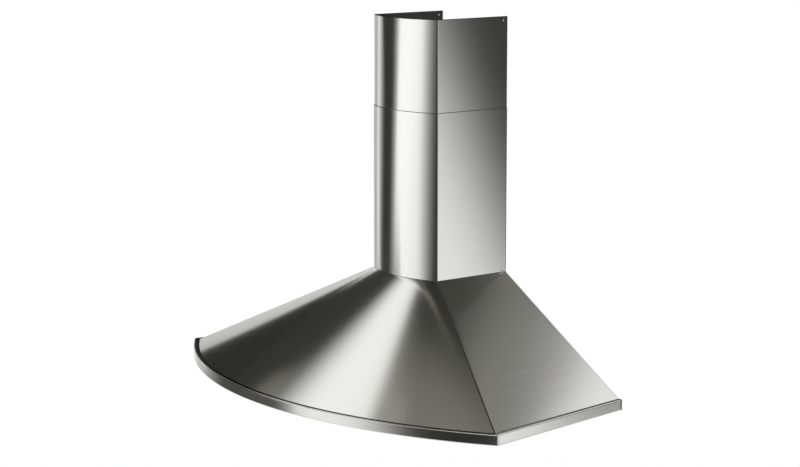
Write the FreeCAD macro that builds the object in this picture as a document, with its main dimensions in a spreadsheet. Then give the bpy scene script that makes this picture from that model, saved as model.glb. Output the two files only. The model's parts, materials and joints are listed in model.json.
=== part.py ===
import FreeCAD, Part
import math
import os
import re

import Sketcher
from FreeCAD import Placement, Rotation, Vector

# A wall hood with a bowed, pyramid-like steel canopy under a two-part telescopic chimney.
# X runs along the wall, -Y points into the room, +Z up. The wall is the plane Y = 0.
# Shapes are drawn with Z = 0 under the rim, and every piece is then lowered by bracketHeight,
# which puts the origin on the wall at the centre of the wall hooks' screw pattern.
# All sizes are millimetres.

sizes = {
    # Rim: a narrow band round the foot of the canopy, bowed in front
    "hoodWidth": 900.0,
    "rearWidth": 800.0,
    "sideDepth": 317.0,
    "bowRise": 148.0,
    "rimHeight": 18.0,
    "rimSheet": 1.0,
    "ledgeWidth": 11.0,
    "returnWidth": 15.0,
    "bracketHeight": 115.0,
    # Canopy sheets, their thickness measured upright
    "canopyRise": 174.0,
    "canopySheet": 1.2,
    "backSheet": 1.0,
    # Chimney covers: flat sides, bowed front, open back
    "coverWidth": 185.0,
    "coverDepth": 156.0,
    "coverBow": 24.0,
    "coverSheet": 0.8,
    "slideGap": 0.3,
    "lowerCoverHeight": 295.0,
    "upperCoverHeight": 290.0,
    "upperCoverShown": 161.0,
    "topHoleDrop": 7.5,
    "topHoleBack": 9.0,
    "topHoleRadius": 2.2,
    # Top plate that carries the chimney, the collar and the blower
    "plateSheet": 1.2,
    "tabHeight": 12.0,
    "tabLength": 15.0,
    "tabSheet": 1.5,
    "coverScrewBack": 7.5,
    "coverScrewRise": 5.0,
    "coverScrewHead": 3.6,
    "coverScrewHeadHeight": 1.6,
    "coverScrewShank": 1.6,
    "screwClearance": 0.15,
    "coverScrewReach": 6.0,
    # Wall hooks and the slots in the back panel
    "hookSpacing": 260.0,
    "hookWidth": 44.0,
    "hookHeight": 40.0,
    "hookSheet": 2.0,
    "hookLipHeight": 10.0,
    "hookLipGap": 0.1,
    "hookBelowTop": 20.0,
    "hookHoleSpacing": 22.0,
    "hookHoleRadius": 3.0,
    "slotGap": 3.0,
    "inletRadius": 9.0,
    "inletAcross": 190.0,
    "inletHeight": 57.0,
    # Pan under the canopy
    "panSheet": 1.0,
    "panGap": 0.3,
    "panScrewHead": 3.5,
    "panScrewHeadHeight": 0.8,
    "panScrewShank": 1.5,
    "panScrewReach": 4.0,
    "panScrewInset": 8.0,
    # Grease filters, each hinged at its rear edge
    "filterWidth": 318.0,
    "filterThickness": 10.0,
    "filterFrameWidth": 12.0,
    "filterBar": 30.0,
    "filterSideGap": 2.0,
    "filterRearGap": 3.5,
    "filterRearEdge": 55.0,
    "filterPivotInset": 4.0,
    "filterPinRadius": 2.0,
    "filterPinClearance": 0.08,
    "earWidth": 7.0,
    "earDepth": 8.0,
    "earHeight": 8.0,
    "earGap": 0.5,
    "baffleWidth": 15.0,
    "bafflePitch": 24.5,
    "baffleSheet": 0.8,
    "baffleLip": 3.0,
    "baffleInset": 1.0,
    "pullWidth": 60.0,
    "pullDepth": 9.0,
    "pullSheet": 1.5,
    "catchWidth": 14.0,
    "catchDepth": 14.0,
    "catchNose": 8.0,
    "catchNoseHeight": 3.7,
    "catchGap": 0.3,
    "catchInset": 60.0,
    # Lamps
    "lampAcross": 250.0,
    "lampRimGap": 10.0,
    "lampFilterGap": 10.5,
    "lampHoleRadius": 28.0,
    "lampCupRadius": 27.5,
    "lampCupHeight": 22.0,
    "lampCupSheet": 0.8,
    "lampCupFlange": 33.0,
    "lampTrimRadius": 32.0,
    "lampTrimHeight": 1.0,
    "lampLensRadius": 24.0,
    "lampLensThickness": 3.0,
    "lampLensLip": 1.5,
    "bulbRadius": 5.0,
    "bulbLength": 9.0,
    "socketRadius": 8.0,
    "socketHeight": 5.0,
    # Push buttons under the front edge
    "buttonRimGap": 12.0,
    "buttonPitch": 24.0,
    "buttonWidth": 18.0,
    "buttonDepth": 14.0,
    "buttonGap": 0.3,
    "buttonTravel": 2.5,
    "buttonProud": 0.8,
    "buttonFlange": 1.2,
    "buttonFlangeHeight": 1.5,
    "buttonStem": 5.0,
    "bezelWidth": 134.0,
    "bezelDepth": 26.0,
    "bezelLip": 1.0,
    "bezelHeight": 2.6,
    "switchBoxWidth": 136.0,
    "switchBoxDepth": 28.0,
    "switchBoxHeight": 20.0,
    "switchBoxWall": 1.5,
    "switchWidth": 16.0,
    "switchDepth": 12.0,
    # Blower: a scroll in two halves with its outlet upwards
    "blowerLead": 32.0,
    "blowerDrop": 87.0,
    "casingHalf": 42.0,
    "casingSheet": 1.2,
    "scrollStartRadius": 60.0,
    "scrollEndRadius": 84.0,
    "inletHoleRadius": 45.0,
    "casingLip": 12.0,
    "blowerScrewHead": 3.5,
    "blowerScrewHeadHeight": 2.0,
    "blowerScrewShank": 1.6,
    "blowerScrewInset": 12.0,
    # Impeller and motor on one level shaft
    "wheelRadius": 52.0,
    "wheelBladeDepth": 9.0,
    "wheelHalf": 34.0,
    "wheelRing": 2.0,
    "wheelPlate": 2.0,
    "bladeSheet": 0.8,
    "bladeCurve": 2.2,
    "bladeOverlap": 0.3,
    "hubRadius": 9.0,
    "hubLength": 12.0,
    "shaftRadius": 4.0,
    "shaftLeft": 20.0,
    "shaftRight": 52.0,
    "seatClearance": 0.02,
    "runClearance": 0.05,
    "motorRadius": 36.0,
    "motorStart": 4.0,
    "motorLength": 46.0,
    "motorSheet": 2.0,
    "motorEndHole": 11.0,
    "bearingRadius": 10.98,
    "statorBore": 22.0,
    "statorInset": 8.0,
    "rotorRadius": 21.5,
    "bracketSheet": 1.5,
    "bracketRingInner": 46.0,
    "bracketRingOuter": 54.0,
    "bracketHub": 40.0,
    "bracketArm": 8.0,
    "bracketOverlap": 2.5,
    # Outlet collar with its two damper flaps
    "collarForward": 88.0,
    "collarRadius": 75.0,
    "collarSheet": 1.0,
    "collarFlange": 84.0,
    "collarFlangeSheet": 1.2,
    "gasketSheet": 1.5,
    "collarHeight": 58.0,
    "damperHeight": 40.0,
    "damperPinRadius": 1.5,
    "damperKnuckleRadius": 2.6,
    "damperKnuckleLength": 20.0,
    "damperKnuckleGap": 0.5,
    "damperKnuckleStart": 60.0,
    "damperSheet": 0.8,
    "damperRimGap": 1.0,
    "damperPlateStart": 3.0,
    "damperStopWidth": 4.0,
    "damperStopSheet": 1.5,
    "damperStopGap": 0.3,
    # Electrical boxes on the back panel
    "boxFromCentre": 155.0,
    "boxWidth": 80.0,
    "boxBottom": 30.0,
    "boxHeight": 54.0,
    "boxDepth": 38.0,
    "boxWall": 1.6,
    "lidSheet": 2.0,
    "driverDepth": 28.0,
    "capacitorFromCentre": 88.0,
    "capacitorRadius": 14.0,
    "capacitorLength": 62.0,
    "capacitorBottom": 30.0,
    "clipWidth": 12.0,
    "clipWall": 1.5,
    "grommetLip": 3.0,
    "grommetLipSheet": 1.5,
    "grommetBore": 4.0,
    # Shared overrun of every cutting tool
    "overrun": 5.0,
}

# Places that follow the rim's bow, the collar or the canopy's top, as formulas for the sheet
derived = {
    "rimRadius": "((hoodWidth / 2) ^ 2 + bowRise ^ 2) / (2 * bowRise)",
    "lampInset": "returnWidth + lampRimGap + lampTrimRadius",
    "lampForward": "sqrt((rimRadius - lampInset) ^ 2 - lampAcross ^ 2) - rimRadius + sideDepth + bowRise",
    "filterFront": "lampForward - lampCupFlange - lampFilterGap",
    "filterDepth": "filterFront - filterRearEdge - filterRearGap - filterSideGap",
    "buttonForward": "sideDepth + bowRise - returnWidth - buttonRimGap - bezelDepth / 2",
    "blowerForward": "collarForward + blowerLead",
    "blowerHeight": "rimHeight + canopyRise - blowerDrop",
}

doc = FreeCAD.newDocument("RangeHood")
sheet = doc.addObject("Spreadsheet::Sheet", "Sizes")
cells = [(alias, str(value)) for alias, value in sizes.items()]
cells += [(alias, "=" + formula) for alias, formula in derived.items()]
for rowNumber, (alias, content) in enumerate(cells, 1):
    sheet.set("A%d" % rowNumber, alias)
    sheet.set("B%d" % rowNumber, content)
    sheet.setAlias("B%d" % rowNumber, alias)
doc.recompute()


class SheetValues:
    """Reads a size from the sheet by its alias."""

    def __getattr__(self, alias):
        return float(sheet.get(alias))


v = SheetValues()
subparts = []

scrollStartDegrees = 110
scrollArcCount = 5
bladeCount = 36
bladeLeanDegrees = 35
motorArmCount = 3
baffleCountPerLayer = int((v.filterWidth - 2 * v.filterFrameWidth - v.baffleWidth) // v.bafflePitch)
knucklesPerFlap = 3
buttonNames = ["light", "off", "low", "medium", "high"]
sides = {"left": -1, "right": 1}
panScrewBowShares = (-0.8, -0.4, 0.0, 0.4, 0.8)
panScrewSideShares = (0.1, 0.75)


def bind(obj, prop, text):
    """Binds a property to an expression written with the sheet's aliases."""
    known = set(sizes) | set(derived)
    named = re.sub(r"[A-Za-z]\w+", lambda m: "Sizes." + m.group(0) if m.group(0) in known else m.group(0), text)
    obj.setExpression(prop, named)


def keep(obj, label):
    """Lists an object as a finished sub-part under its own label."""
    obj.Label = label
    subparts.append(obj)
    return obj


def place(obj, x, y, z):
    bind(obj, "Placement.Base.x", x)
    bind(obj, "Placement.Base.y", y)
    bind(obj, "Placement.Base.z", "(%s) - bracketHeight" % z)


def box(name, length, width, height, x, y, z):
    obj = doc.addObject("Part::Box", name)
    bind(obj, "Length", length)
    bind(obj, "Width", width)
    bind(obj, "Height", height)
    place(obj, x, y, z)
    return obj


def cylinder(name, radius, height, x, y, z, turn=None):
    """A cylinder whose axis is +Z, or +X or +Y with turn set to that letter."""
    obj = doc.addObject("Part::Cylinder", name)
    bind(obj, "Radius", radius)
    bind(obj, "Height", height)
    turns = {None: Rotation(), "X": Rotation(Vector(0, 1, 0), 90), "Y": Rotation(Vector(1, 0, 0), -90)}
    obj.Placement = Placement(Vector(), turns[turn])
    place(obj, x, y, z)
    return obj


def fuse(name, shapes):
    obj = doc.addObject("Part::MultiFuse", name)
    obj.Shapes = shapes
    obj.Refine = True
    return obj


def cut(name, base, tool):
    obj = doc.addObject("Part::Cut", name)
    obj.Base = base
    obj.Tool = tool
    return obj


def group(name, shapes):
    """Several separate solids kept as one sub-part."""
    obj = doc.addObject("Part::Compound", name)
    obj.Links = shapes
    return obj


def shaped(label, shape):
    """A sub-part whose shape comes straight from the geometry functions below."""
    obj = doc.addObject("Part::Feature", label)
    obj.Shape = shape
    obj.Placement = Placement(Vector(0, 0, -v.bracketHeight), Rotation()).multiply(shape.Placement)
    return keep(obj, label)


def originPlane(body, role):
    return next(f for f in body.Origin.OriginFeatures if f.Role == role)


def outlineSketch(body, name, role, corners):
    """A closed outline of straight runs, each corner held at its own two distances."""
    sketch = body.newObject("Sketcher::SketchObject", name)
    sketch.AttachmentSupport = [(originPlane(body, role), "")]
    sketch.MapMode = "FlatFace"
    rough = [Vector(*[evaluate(text) for text in corner], 0) for corner in corners]
    count = len(rough)
    for i in range(count):
        sketch.addGeometry(Part.LineSegment(rough[i], rough[(i + 1) % count]))
    for i in range(count):
        sketch.addConstraint(Sketcher.Constraint("Coincident", i, 2, (i + 1) % count, 1))
    for i, corner in enumerate(corners):
        for kind, text, axis in (("DistanceX", corner[0], -2), ("DistanceY", corner[1], -1)):
            if text == "0":
                sketch.addConstraint(Sketcher.Constraint("PointOnObject", i, 1, axis))
            else:
                at = sketch.addConstraint(Sketcher.Constraint(kind, -1, 1, i, 1, evaluate(text)))
                bind(sketch, "Constraints[%d]" % at, text)
    return sketch


def evaluate(text):
    """The present value of an expression written with the sheet's aliases."""
    holder = doc.addObject("App::FeaturePython", "Evaluation")
    holder.addProperty("App::PropertyFloat", "Answer")
    bind(holder, "Answer", text)
    holder.recompute()
    answer = holder.Answer
    doc.removeObject(holder.Name)
    return answer


def startBody(label):
    body = doc.addObject("PartDesign::Body", label)
    bind(body, "Placement.Base.z", "-bracketHeight")
    return keep(body, label)


def pad(body, name, sketch, length, midplane=False):
    feature = body.newObject("PartDesign::Pad", name)
    feature.Profile = sketch
    bind(feature, "Length", length)
    feature.Midplane = midplane
    return feature


def pocketThrough(body, name, sketch):
    feature = body.newObject("PartDesign::Pocket", name)
    feature.Profile = sketch
    feature.Type = "ThroughAll"
    feature.Midplane = True
    return feature


def circleSketch(body, name, role, radius, x, y):
    sketch = body.newObject("Sketcher::SketchObject", name)
    sketch.AttachmentSupport = [(originPlane(body, role), "")]
    sketch.MapMode = "FlatFace"
    sketch.addGeometry(Part.Circle(Vector(evaluate(x), evaluate(y), 0), Vector(0, 0, 1), evaluate(radius)))
    rows = [("Radius", (0,), radius)]
    rows += [(kind, (-1, 1, 0, 3), text) for kind, text in (("DistanceX", x), ("DistanceY", y)) if text != "0"]
    for kind, where, text in rows:
        at = sketch.addConstraint(Sketcher.Constraint(kind, *where, evaluate(text)))
        bind(sketch, "Constraints[%d]" % at, text)
    for axis, text in ((-2, x), (-1, y)):
        if text == "0":
            sketch.addConstraint(Sketcher.Constraint("PointOnObject", 0, 3, axis))
    return sketch


def revolved(label, role, corners, axisName, forward, across="0", height="0"):
    """A round piece: an outline in an origin plane, turned about that plane's own axis."""
    body = startBody(label)
    sketch = outlineSketch(body, label + "_outline", role, corners)
    turn = body.newObject("PartDesign::Revolution", label + "_turn")
    turn.Profile = sketch
    turn.ReferenceAxis = (sketch, [axisName])
    turn.Angle = 360
    bind(body, "Placement.Base.x", across)
    bind(body, "Placement.Base.y", "-(%s)" % forward)
    bind(body, "Placement.Base.z", "(%s) - bracketHeight" % height)
    return body


# Plan outlines of the rim and of the chimney

def rimArc():
    """Radius and centre Y of the bowed front of the rim."""
    return v.rimRadius, v.rimRadius - v.sideDepth - v.bowRise


def sideX(inset, y):
    """X of the rim's side, moved inwards by inset, at a given Y."""
    lean = (v.hoodWidth - v.rearWidth) / (2 * v.sideDepth)
    return v.rearWidth / 2 - lean * y - inset * math.hypot(1, lean)


def rimCorner(inset):
    """Front corner of the rim outline moved inwards by inset."""
    radius, centre = rimArc()
    lean = (v.hoodWidth - v.rearWidth) / (2 * v.sideDepth)
    atWall = sideX(inset, 0)
    b = atWall * lean + centre
    a = 1 + lean ** 2
    y = (b - math.sqrt(b ** 2 - a * (atWall ** 2 + centre ** 2 - (radius - inset) ** 2))) / a
    return sideX(inset, y), y


def rimBow(inset, z):
    radius, centre = rimArc()
    x, y = rimCorner(inset)
    return Part.Arc(Vector(-x, y, z), Vector(0, centre - radius + inset, z), Vector(x, y, z)).toShape()


def coverPlan(inset):
    """Side X, front corner Y and front middle Y of the chimney outline moved inwards."""
    half = v.coverWidth / 2
    radius = (half ** 2 + v.coverBow ** 2) / (2 * v.coverBow)
    centre = radius - v.coverDepth - v.coverBow
    side = half - inset
    return side, centre - math.sqrt((radius - inset) ** 2 - side ** 2), centre - radius + inset


def coverBowEdge(inset, z):
    side, corner, middle = coverPlan(inset)
    return Part.Arc(Vector(-side, corner, z), Vector(0, middle, z), Vector(side, corner, z)).toShape()


def runs(points):
    return [Part.makeLine(a, b) for a, b in zip(points, points[1:])]


def prism(edges, height):
    return Part.Face(Part.Wire(Part.__sortEdges__(edges))).extrude(Vector(0, 0, height))


def block(x0, x1, y0, y1, z0, z1):
    return Part.makeBox(x1 - x0, y1 - y0, z1 - z0, Vector(x0, y0, z0))


def rod(radius, length, x, y, z, direction=Vector(0, 0, 1)):
    return Part.makeCylinder(radius, length, Vector(x, y, z), direction)


def coverShell(outerInset, bottom, height):
    """Three walls of a chimney cover, outside face moved inwards by outerInset."""
    innerInset = outerInset + v.coverSheet
    outerSide, outerCorner, _ = coverPlan(outerInset)
    innerSide, innerCorner, _ = coverPlan(innerInset)
    edges = [coverBowEdge(outerInset, bottom), coverBowEdge(innerInset, bottom)]
    for sign in (-1, 1):
        edges += runs([Vector(sign * outerSide, outerCorner, bottom), Vector(sign * outerSide, 0, bottom),
                       Vector(sign * innerSide, 0, bottom), Vector(sign * innerSide, innerCorner, bottom)])
    return prism(edges, height)


canopyTop = v.rimHeight + v.canopyRise
sheetFoot = v.rimHeight + v.canopySheet


# Rim, three folded strips with mitred corners, drilled for the pan's screws

def panScrewPlaces():
    """Screws through the pan and the rim's return: along the bow and along both sides."""
    radius, centre = rimArc()
    reach = radius - v.panScrewInset
    halfAngle = math.asin(v.hoodWidth / 2 / radius)
    places = []
    for share in panScrewBowShares:
        angle = share * halfAngle
        places.append((reach * math.sin(angle), centre - reach * math.cos(angle)))
    for share in panScrewSideShares:
        y = -share * v.sideDepth
        places += [(sign * sideX(v.panScrewInset, y), y) for sign in (-1, 1)]
    return places


def panScrewHoles(low, high):
    return [rod(v.panScrewShank + v.screwClearance, high - low, x, y, low) for x, y in panScrewPlaces()]


def rimLayers():
    """Each fold of the rim section as outer inset, inner inset, bottom and top."""
    return [(0, v.rimSheet, 0, v.rimHeight),
            (v.rimSheet, v.ledgeWidth, v.rimHeight - v.rimSheet, v.rimHeight),
            (v.rimSheet, v.returnWidth, 0, v.rimSheet)]


def frontRim():
    layers = []
    for outer, inner, low, high in rimLayers():
        outerX, outerY = rimCorner(outer)
        innerX, innerY = rimCorner(inner)
        edges = [rimBow(outer, low), rimBow(inner, low)]
        for sign in (-1, 1):
            edges += runs([Vector(sign * outerX, outerY, low), Vector(sign * innerX, innerY, low)])
        layers.append(prism(edges, high - low))
    whole = layers[0].multiFuse(layers[1:]).removeSplitter()
    return whole.cut(panScrewHoles(-v.overrun, v.overrun))


def sideRim(sign):
    layers = []
    back = -v.backSheet
    for outer, inner, low, high in rimLayers():
        outerX, outerY = rimCorner(outer)
        innerX, innerY = rimCorner(inner)
        corners = [(outerX, outerY), (sideX(outer, back), back), (sideX(inner, back), back), (innerX, innerY)]
        points = [Vector(sign * x, y, low) for x, y in corners]
        layers.append(prism(runs(points + points[:1]), high - low))
    whole = layers[0].multiFuse(layers[1:]).removeSplitter()
    return whole.cut(panScrewHoles(-v.overrun, v.overrun))


shaped("front_rim", frontRim())
for sideName, sign in sides.items():
    shaped("side_rim_" + sideName, sideRim(sign))


# Canopy sheets, ruled from the rim's ledge up to the chimney's foot

def canopySheetBetween(lowEdge, highEdge):
    return Part.makeRuledSurface(lowEdge, highEdge).extrude(Vector(0, 0, -v.canopySheet))


def sidePanel(sign):
    back = -v.backSheet
    cornerX, cornerY = rimCorner(v.ledgeWidth)
    side, coverCorner, _ = coverPlan(0)
    low = Part.makeLine(Vector(sign * cornerX, cornerY, sheetFoot),
                        Vector(sign * sideX(v.ledgeWidth, back), back, sheetFoot))
    high = Part.makeLine(Vector(sign * side, coverCorner, canopyTop), Vector(sign * side, back, canopyTop))
    return canopySheetBetween(low, high)


shaped("canopy_front_panel", canopySheetBetween(rimBow(v.ledgeWidth, sheetFoot), coverBowEdge(0, canopyTop)))
for sideName, sign in sides.items():
    shaped("canopy_side_panel_" + sideName, sidePanel(sign))


# Top plate with the blower's outlet opening and two upright tabs for the chimney screws

def neckLimits(inset):
    """Rear and front Y of the blower's upright neck, moved inwards by inset."""
    centre = -v.blowerForward
    front = centre + (v.scrollStartRadius - inset) * math.cos(math.radians(scrollStartDegrees)) + inset
    return centre + v.scrollEndRadius - inset, front


def topPlate():
    side, corner, _ = coverPlan(0)
    low = canopyTop - v.plateSheet
    back = -v.backSheet
    edges = [coverBowEdge(0, low)]
    edges += runs([Vector(side, corner, low), Vector(side, back, low), Vector(-side, back, low),
                   Vector(-side, corner, low)])
    plate = prism(edges, v.plateSheet)
    rear, front = neckLimits(v.casingSheet)
    half = v.casingHalf - v.casingSheet
    plate = plate.cut(block(-half, half, front, rear, low - v.overrun, canopyTop + v.overrun))
    for sign in (-1, 1):
        outer = v.coverWidth / 2 - v.coverSheet
        x0, x1 = sorted((sign * outer, sign * (outer - v.tabSheet)))
        plate = plate.fuse(block(x0, x1, back - v.tabLength, back, canopyTop, canopyTop + v.tabHeight))
    drill = [rod(v.blowerScrewShank + v.screwClearance, 4 * v.overrun, x, y, canopyTop - 2 * v.overrun)
             for x, y in blowerScrewPlaces()]
    return plate.cut([coverScrewHoles()] + drill).removeSplitter()


def blowerScrewPlaces():
    """Two screws in each of the lips in front of and behind the blower's neck."""
    rear, front = neckLimits(0)
    x = v.casingHalf - v.blowerScrewInset
    return [(sign * x, y) for sign in (-1, 1) for y in (rear + v.casingLip / 2, front - v.casingLip / 2)]


def coverScrewHoles():
    """One long rod through both tabs and both sides of the lower cover."""
    reach = v.coverWidth + 2 * v.overrun
    return rod(v.coverScrewShank + v.screwClearance, reach, -reach / 2, -v.coverScrewBack,
               canopyTop + v.coverScrewRise, Vector(1, 0, 0))


shaped("canopy_top_plate", topPlate())

# Chimney covers, the upper one sliding inside the lower one
shaped("lower_chimney_cover", coverShell(0, canopyTop, v.lowerCoverHeight).cut(coverScrewHoles()))


def upperCover():
    top = canopyTop + v.lowerCoverHeight + v.upperCoverShown
    shell = coverShell(v.coverSheet + v.slideGap, top - v.upperCoverHeight, v.upperCoverHeight)
    reach = v.coverWidth + 2 * v.overrun
    height = top - v.topHoleDrop
    return shell.cut(rod(v.topHoleRadius, reach, -reach / 2, -v.topHoleBack, height, Vector(1, 0, 0)))


shaped("upper_chimney_cover", upperCover())


def screwFacing(sign):
    """Pan-head screw from the side of the cover inwards."""
    outer = sign * v.coverWidth / 2
    height = canopyTop + v.coverScrewRise
    head = rod(v.coverScrewHead, v.coverScrewHeadHeight, outer, -v.coverScrewBack, height, Vector(sign, 0, 0))
    shank = rod(v.coverScrewShank, v.coverScrewReach, outer, -v.coverScrewBack, height, Vector(-sign, 0, 0))
    return head.fuse(shank)


shaped("chimney_screws", Part.makeCompound([screwFacing(sign) for sign in (-1, 1)]))

# Back panel against the wall, with a slot round each wall hook and the mains inlet hole
rearLedge = ("rearWidth / 2 + backSheet * (hoodWidth - rearWidth) / (2 * sideDepth)"
             " - ledgeWidth * sqrt(1 + ((hoodWidth - rearWidth) / (2 * sideDepth)) ^ 2)")
backRight = [("rearWidth / 2", "0"), ("rearWidth / 2", "rimHeight"), (rearLedge, "rimHeight"),
             (rearLedge, "rimHeight + canopySheet"), ("coverWidth / 2", "rimHeight + canopyRise")]
backLeft = [("-(%s)" % x, y) for x, y in reversed(backRight)]
hookTop = "bracketHeight + hookBelowTop"
backPanel = startBody("canopy_back_panel")
backSketch = outlineSketch(backPanel, "back_outline", "XZ_Plane", backRight + backLeft)
pad(backPanel, "back_sheet", backSketch, "backSheet")
for sideName, sign in (("left", "-"), ("right", "")):
    inner = "%s(hookSpacing / 2 - hookWidth / 2 - slotGap)" % sign
    outer = "%s(hookSpacing / 2 + hookWidth / 2 + slotGap)" % sign
    foot = hookTop + " - hookHeight - slotGap"
    slot = [(inner, foot), (outer, foot), (outer, hookTop), (inner, hookTop)]
    slotSketch = outlineSketch(backPanel, "slot_outline_" + sideName, "XZ_Plane", slot)
    pocketThrough(backPanel, "hook_slot_" + sideName, slotSketch)
inletSketch = circleSketch(backPanel, "inlet_circle", "XZ_Plane", "inletRadius", "-inletAcross", "inletHeight")
pocketThrough(backPanel, "inlet_hole", inletSketch)

# Wall hooks: the upper edge of each slot hangs on the hook's shoulder behind its lip
for sideName, sign in sides.items():
    hook = startBody("wall_hook_" + sideName)
    lipY = "-(backSheet + hookLipGap)"
    lipTop = hookTop + " + hookLipHeight"
    section = [("0", hookTop + " - hookHeight"), ("0", hookTop), (lipY, hookTop), (lipY, lipTop),
               ("-hookSheet", lipTop), ("-hookSheet", hookTop + " - hookHeight")]
    pad(hook, "hook_plate_" + sideName, outlineSketch(hook, "hook_section_" + sideName, "YZ_Plane", section),
        "hookWidth", True)
    for level, rise in (("upper", "+"), ("lower", "-")):
        height = "bracketHeight %s hookHoleSpacing / 2" % rise
        which = level + "_" + sideName
        hole = circleSketch(hook, "hook_circle_" + which, "XZ_Plane", "hookHoleRadius", "0", height)
        pocketThrough(hook, "hook_hole_" + which, hole)
    bind(hook, "Placement.Base.x", "%d * hookSpacing / 2" % sign)

# Pan that closes the canopy from below, lying on the rim's return
panTop = v.rimSheet + v.panSheet
filterNear = v.filterBar / 2
filterFar = filterNear + v.filterWidth + 2 * v.filterSideGap
openingRear = -v.filterRearEdge
openingFront = -v.filterFront


def panOutline(inset, z):
    back = -v.backSheet
    x, y = rimCorner(inset)
    wallX = sideX(inset, back)
    return [rimBow(inset, z)] + runs([Vector(x, y, z), Vector(wallX, back, z), Vector(-wallX, back, z),
                                      Vector(-x, y, z)])


def bottomPan():
    pan = prism(panOutline(v.rimSheet + v.panGap, v.rimSheet), v.panSheet)
    low, high = v.rimSheet - v.overrun, panTop + v.overrun
    halfWide, halfDeep = v.bezelWidth / 2 - v.bezelLip, v.bezelDepth / 2 - v.bezelLip
    cutters = [block(-halfWide, halfWide, -v.buttonForward - halfDeep, -v.buttonForward + halfDeep, low, high)]
    for sign in (-1, 1):
        x0, x1 = sorted((sign * filterNear, sign * filterFar))
        cutters.append(block(x0, x1, openingFront, openingRear, low, high))
        cutters.append(rod(v.lampHoleRadius, high - low, sign * v.lampAcross, -v.lampForward, low))
    return pan.cut(cutters + panScrewHoles(low, high))


shaped("bottom_pan", bottomPan())


def panScrew(x, y):
    head = rod(v.panScrewHead, v.panScrewHeadHeight, x, y, -v.panScrewHeadHeight)
    return head.fuse(rod(v.panScrewShank, v.panScrewReach, x, y, 0))


shaped("pan_screws", Part.makeCompound([panScrew(x, y) for x, y in panScrewPlaces()]))

# Grease filters: frame with hinge pins and a pull lip, and two layers of baffles
pivotY = openingRear - v.filterRearGap - v.filterPivotInset
pivotZ = v.rimSheet + v.filterThickness / 2
frameRear = openingRear - v.filterRearGap
frameFront = frameRear - v.filterDepth
filterLow = v.rimSheet
filterHigh = filterLow + v.filterThickness


def filterFrame(sign):
    x0, x1 = sorted((sign * (filterNear + v.filterSideGap), sign * (filterFar - v.filterSideGap)))
    w = v.filterFrameWidth
    frame = block(x0, x1, frameFront, frameRear, filterLow, filterHigh)
    frame = frame.cut(block(x0 + w, x1 - w, frameFront + w, frameRear - w,
                            filterLow - v.overrun, filterHigh + v.overrun))
    pinReach = v.filterSideGap + v.earGap + v.earWidth
    middle = (x0 + x1) / 2
    frame = frame.multiFuse([
        rod(v.filterPinRadius, pinReach, x1, pivotY, pivotZ, Vector(1, 0, 0)),
        rod(v.filterPinRadius, pinReach, x0, pivotY, pivotZ, Vector(-1, 0, 0)),
        block(middle - v.pullWidth / 2, middle + v.pullWidth / 2, frameFront + w,
              frameFront + w + v.pullDepth, filterLow, filterLow + v.pullSheet)])
    return frame.removeSplitter()


def baffle(x, low, lipUp):
    """One channel-shaped slat across the filter, its two lips turned up or down."""
    y0, y1 = frameFront + v.filterFrameWidth, frameRear - v.filterFrameWidth
    y0 += v.pullDepth
    half = v.baffleWidth / 2
    web = block(x - half, x + half, y0, y1, low, low + v.baffleSheet)
    lipLow = low if lipUp else low + v.baffleSheet - v.baffleLip
    lips = [block(a, a + v.baffleSheet, y0, y1, lipLow, lipLow + v.baffleLip)
            for a in (x - half, x + half - v.baffleSheet)]
    return web.multiFuse(lips).removeSplitter()


def filterBaffles(sign):
    """Lower slats with lips up, upper slats with lips down, and two end strips that join them."""
    x0, x1 = sorted((sign * (filterNear + v.filterSideGap), sign * (filterFar - v.filterSideGap)))
    middle = (x0 + x1) / 2
    slats = []
    for i in range(baffleCountPerLayer):
        x = middle + (i - (baffleCountPerLayer - 1) / 2) * v.bafflePitch
        slats.append(baffle(x, filterLow + v.baffleInset, True))
        if i:
            slats.append(baffle(x - v.bafflePitch / 2, filterHigh - v.baffleInset - v.baffleSheet, False))
    inner0, inner1 = x0 + v.filterFrameWidth, x1 - v.filterFrameWidth
    y0, y1 = frameFront + v.filterFrameWidth + v.pullDepth, frameRear - v.filterFrameWidth
    for a, b in ((y0, y0 + v.baffleSheet), (y1 - v.baffleSheet, y1)):
        slats.append(block(inner0, inner1, a, b, filterLow + v.baffleInset, filterHigh - v.baffleInset))
    return slats[0].multiFuse(slats[1:]).removeSplitter()


for sideName, sign in sides.items():
    shaped("filter_frame_" + sideName, filterFrame(sign))
    shaped("filter_baffles_" + sideName, filterBaffles(sign))


def hingeEars():
    ears = []
    for sign in (-1, 1):
        for edge, outwards in ((filterNear, -1), (filterFar, 1)):
            near = edge + outwards * v.earGap
            far = near + outwards * v.earWidth
            x0, x1 = sorted((sign * near, sign * far))
            ear = block(x0, x1, pivotY - v.earDepth / 2, pivotY + v.earDepth / 2, panTop, panTop + v.earHeight)
            bore = rod(v.filterPinRadius + v.filterPinClearance, v.earWidth + 2 * v.overrun, x0 - v.overrun,
                       pivotY, pivotZ, Vector(1, 0, 0))
            ears.append(ear.cut(bore))
    return Part.makeCompound(ears)


shaped("filter_hinge_ears", hingeEars())


def catches():
    pieces = []
    noseLow = filterHigh + v.catchGap
    for sign in (-1, 1):
        for x in (filterNear + v.catchInset, filterFar - v.catchInset):
            x0, x1 = sign * x - v.catchWidth / 2, sign * x + v.catchWidth / 2
            post = block(x0, x1, openingFront - v.catchDepth, openingFront, panTop, noseLow + v.catchNoseHeight)
            nose = block(x0, x1, openingFront, openingFront + v.catchNose, noseLow, noseLow + v.catchNoseHeight)
            pieces.append(post.fuse(nose).removeSplitter())
    return Part.makeCompound(pieces)


shaped("filter_catches", catches())

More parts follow.
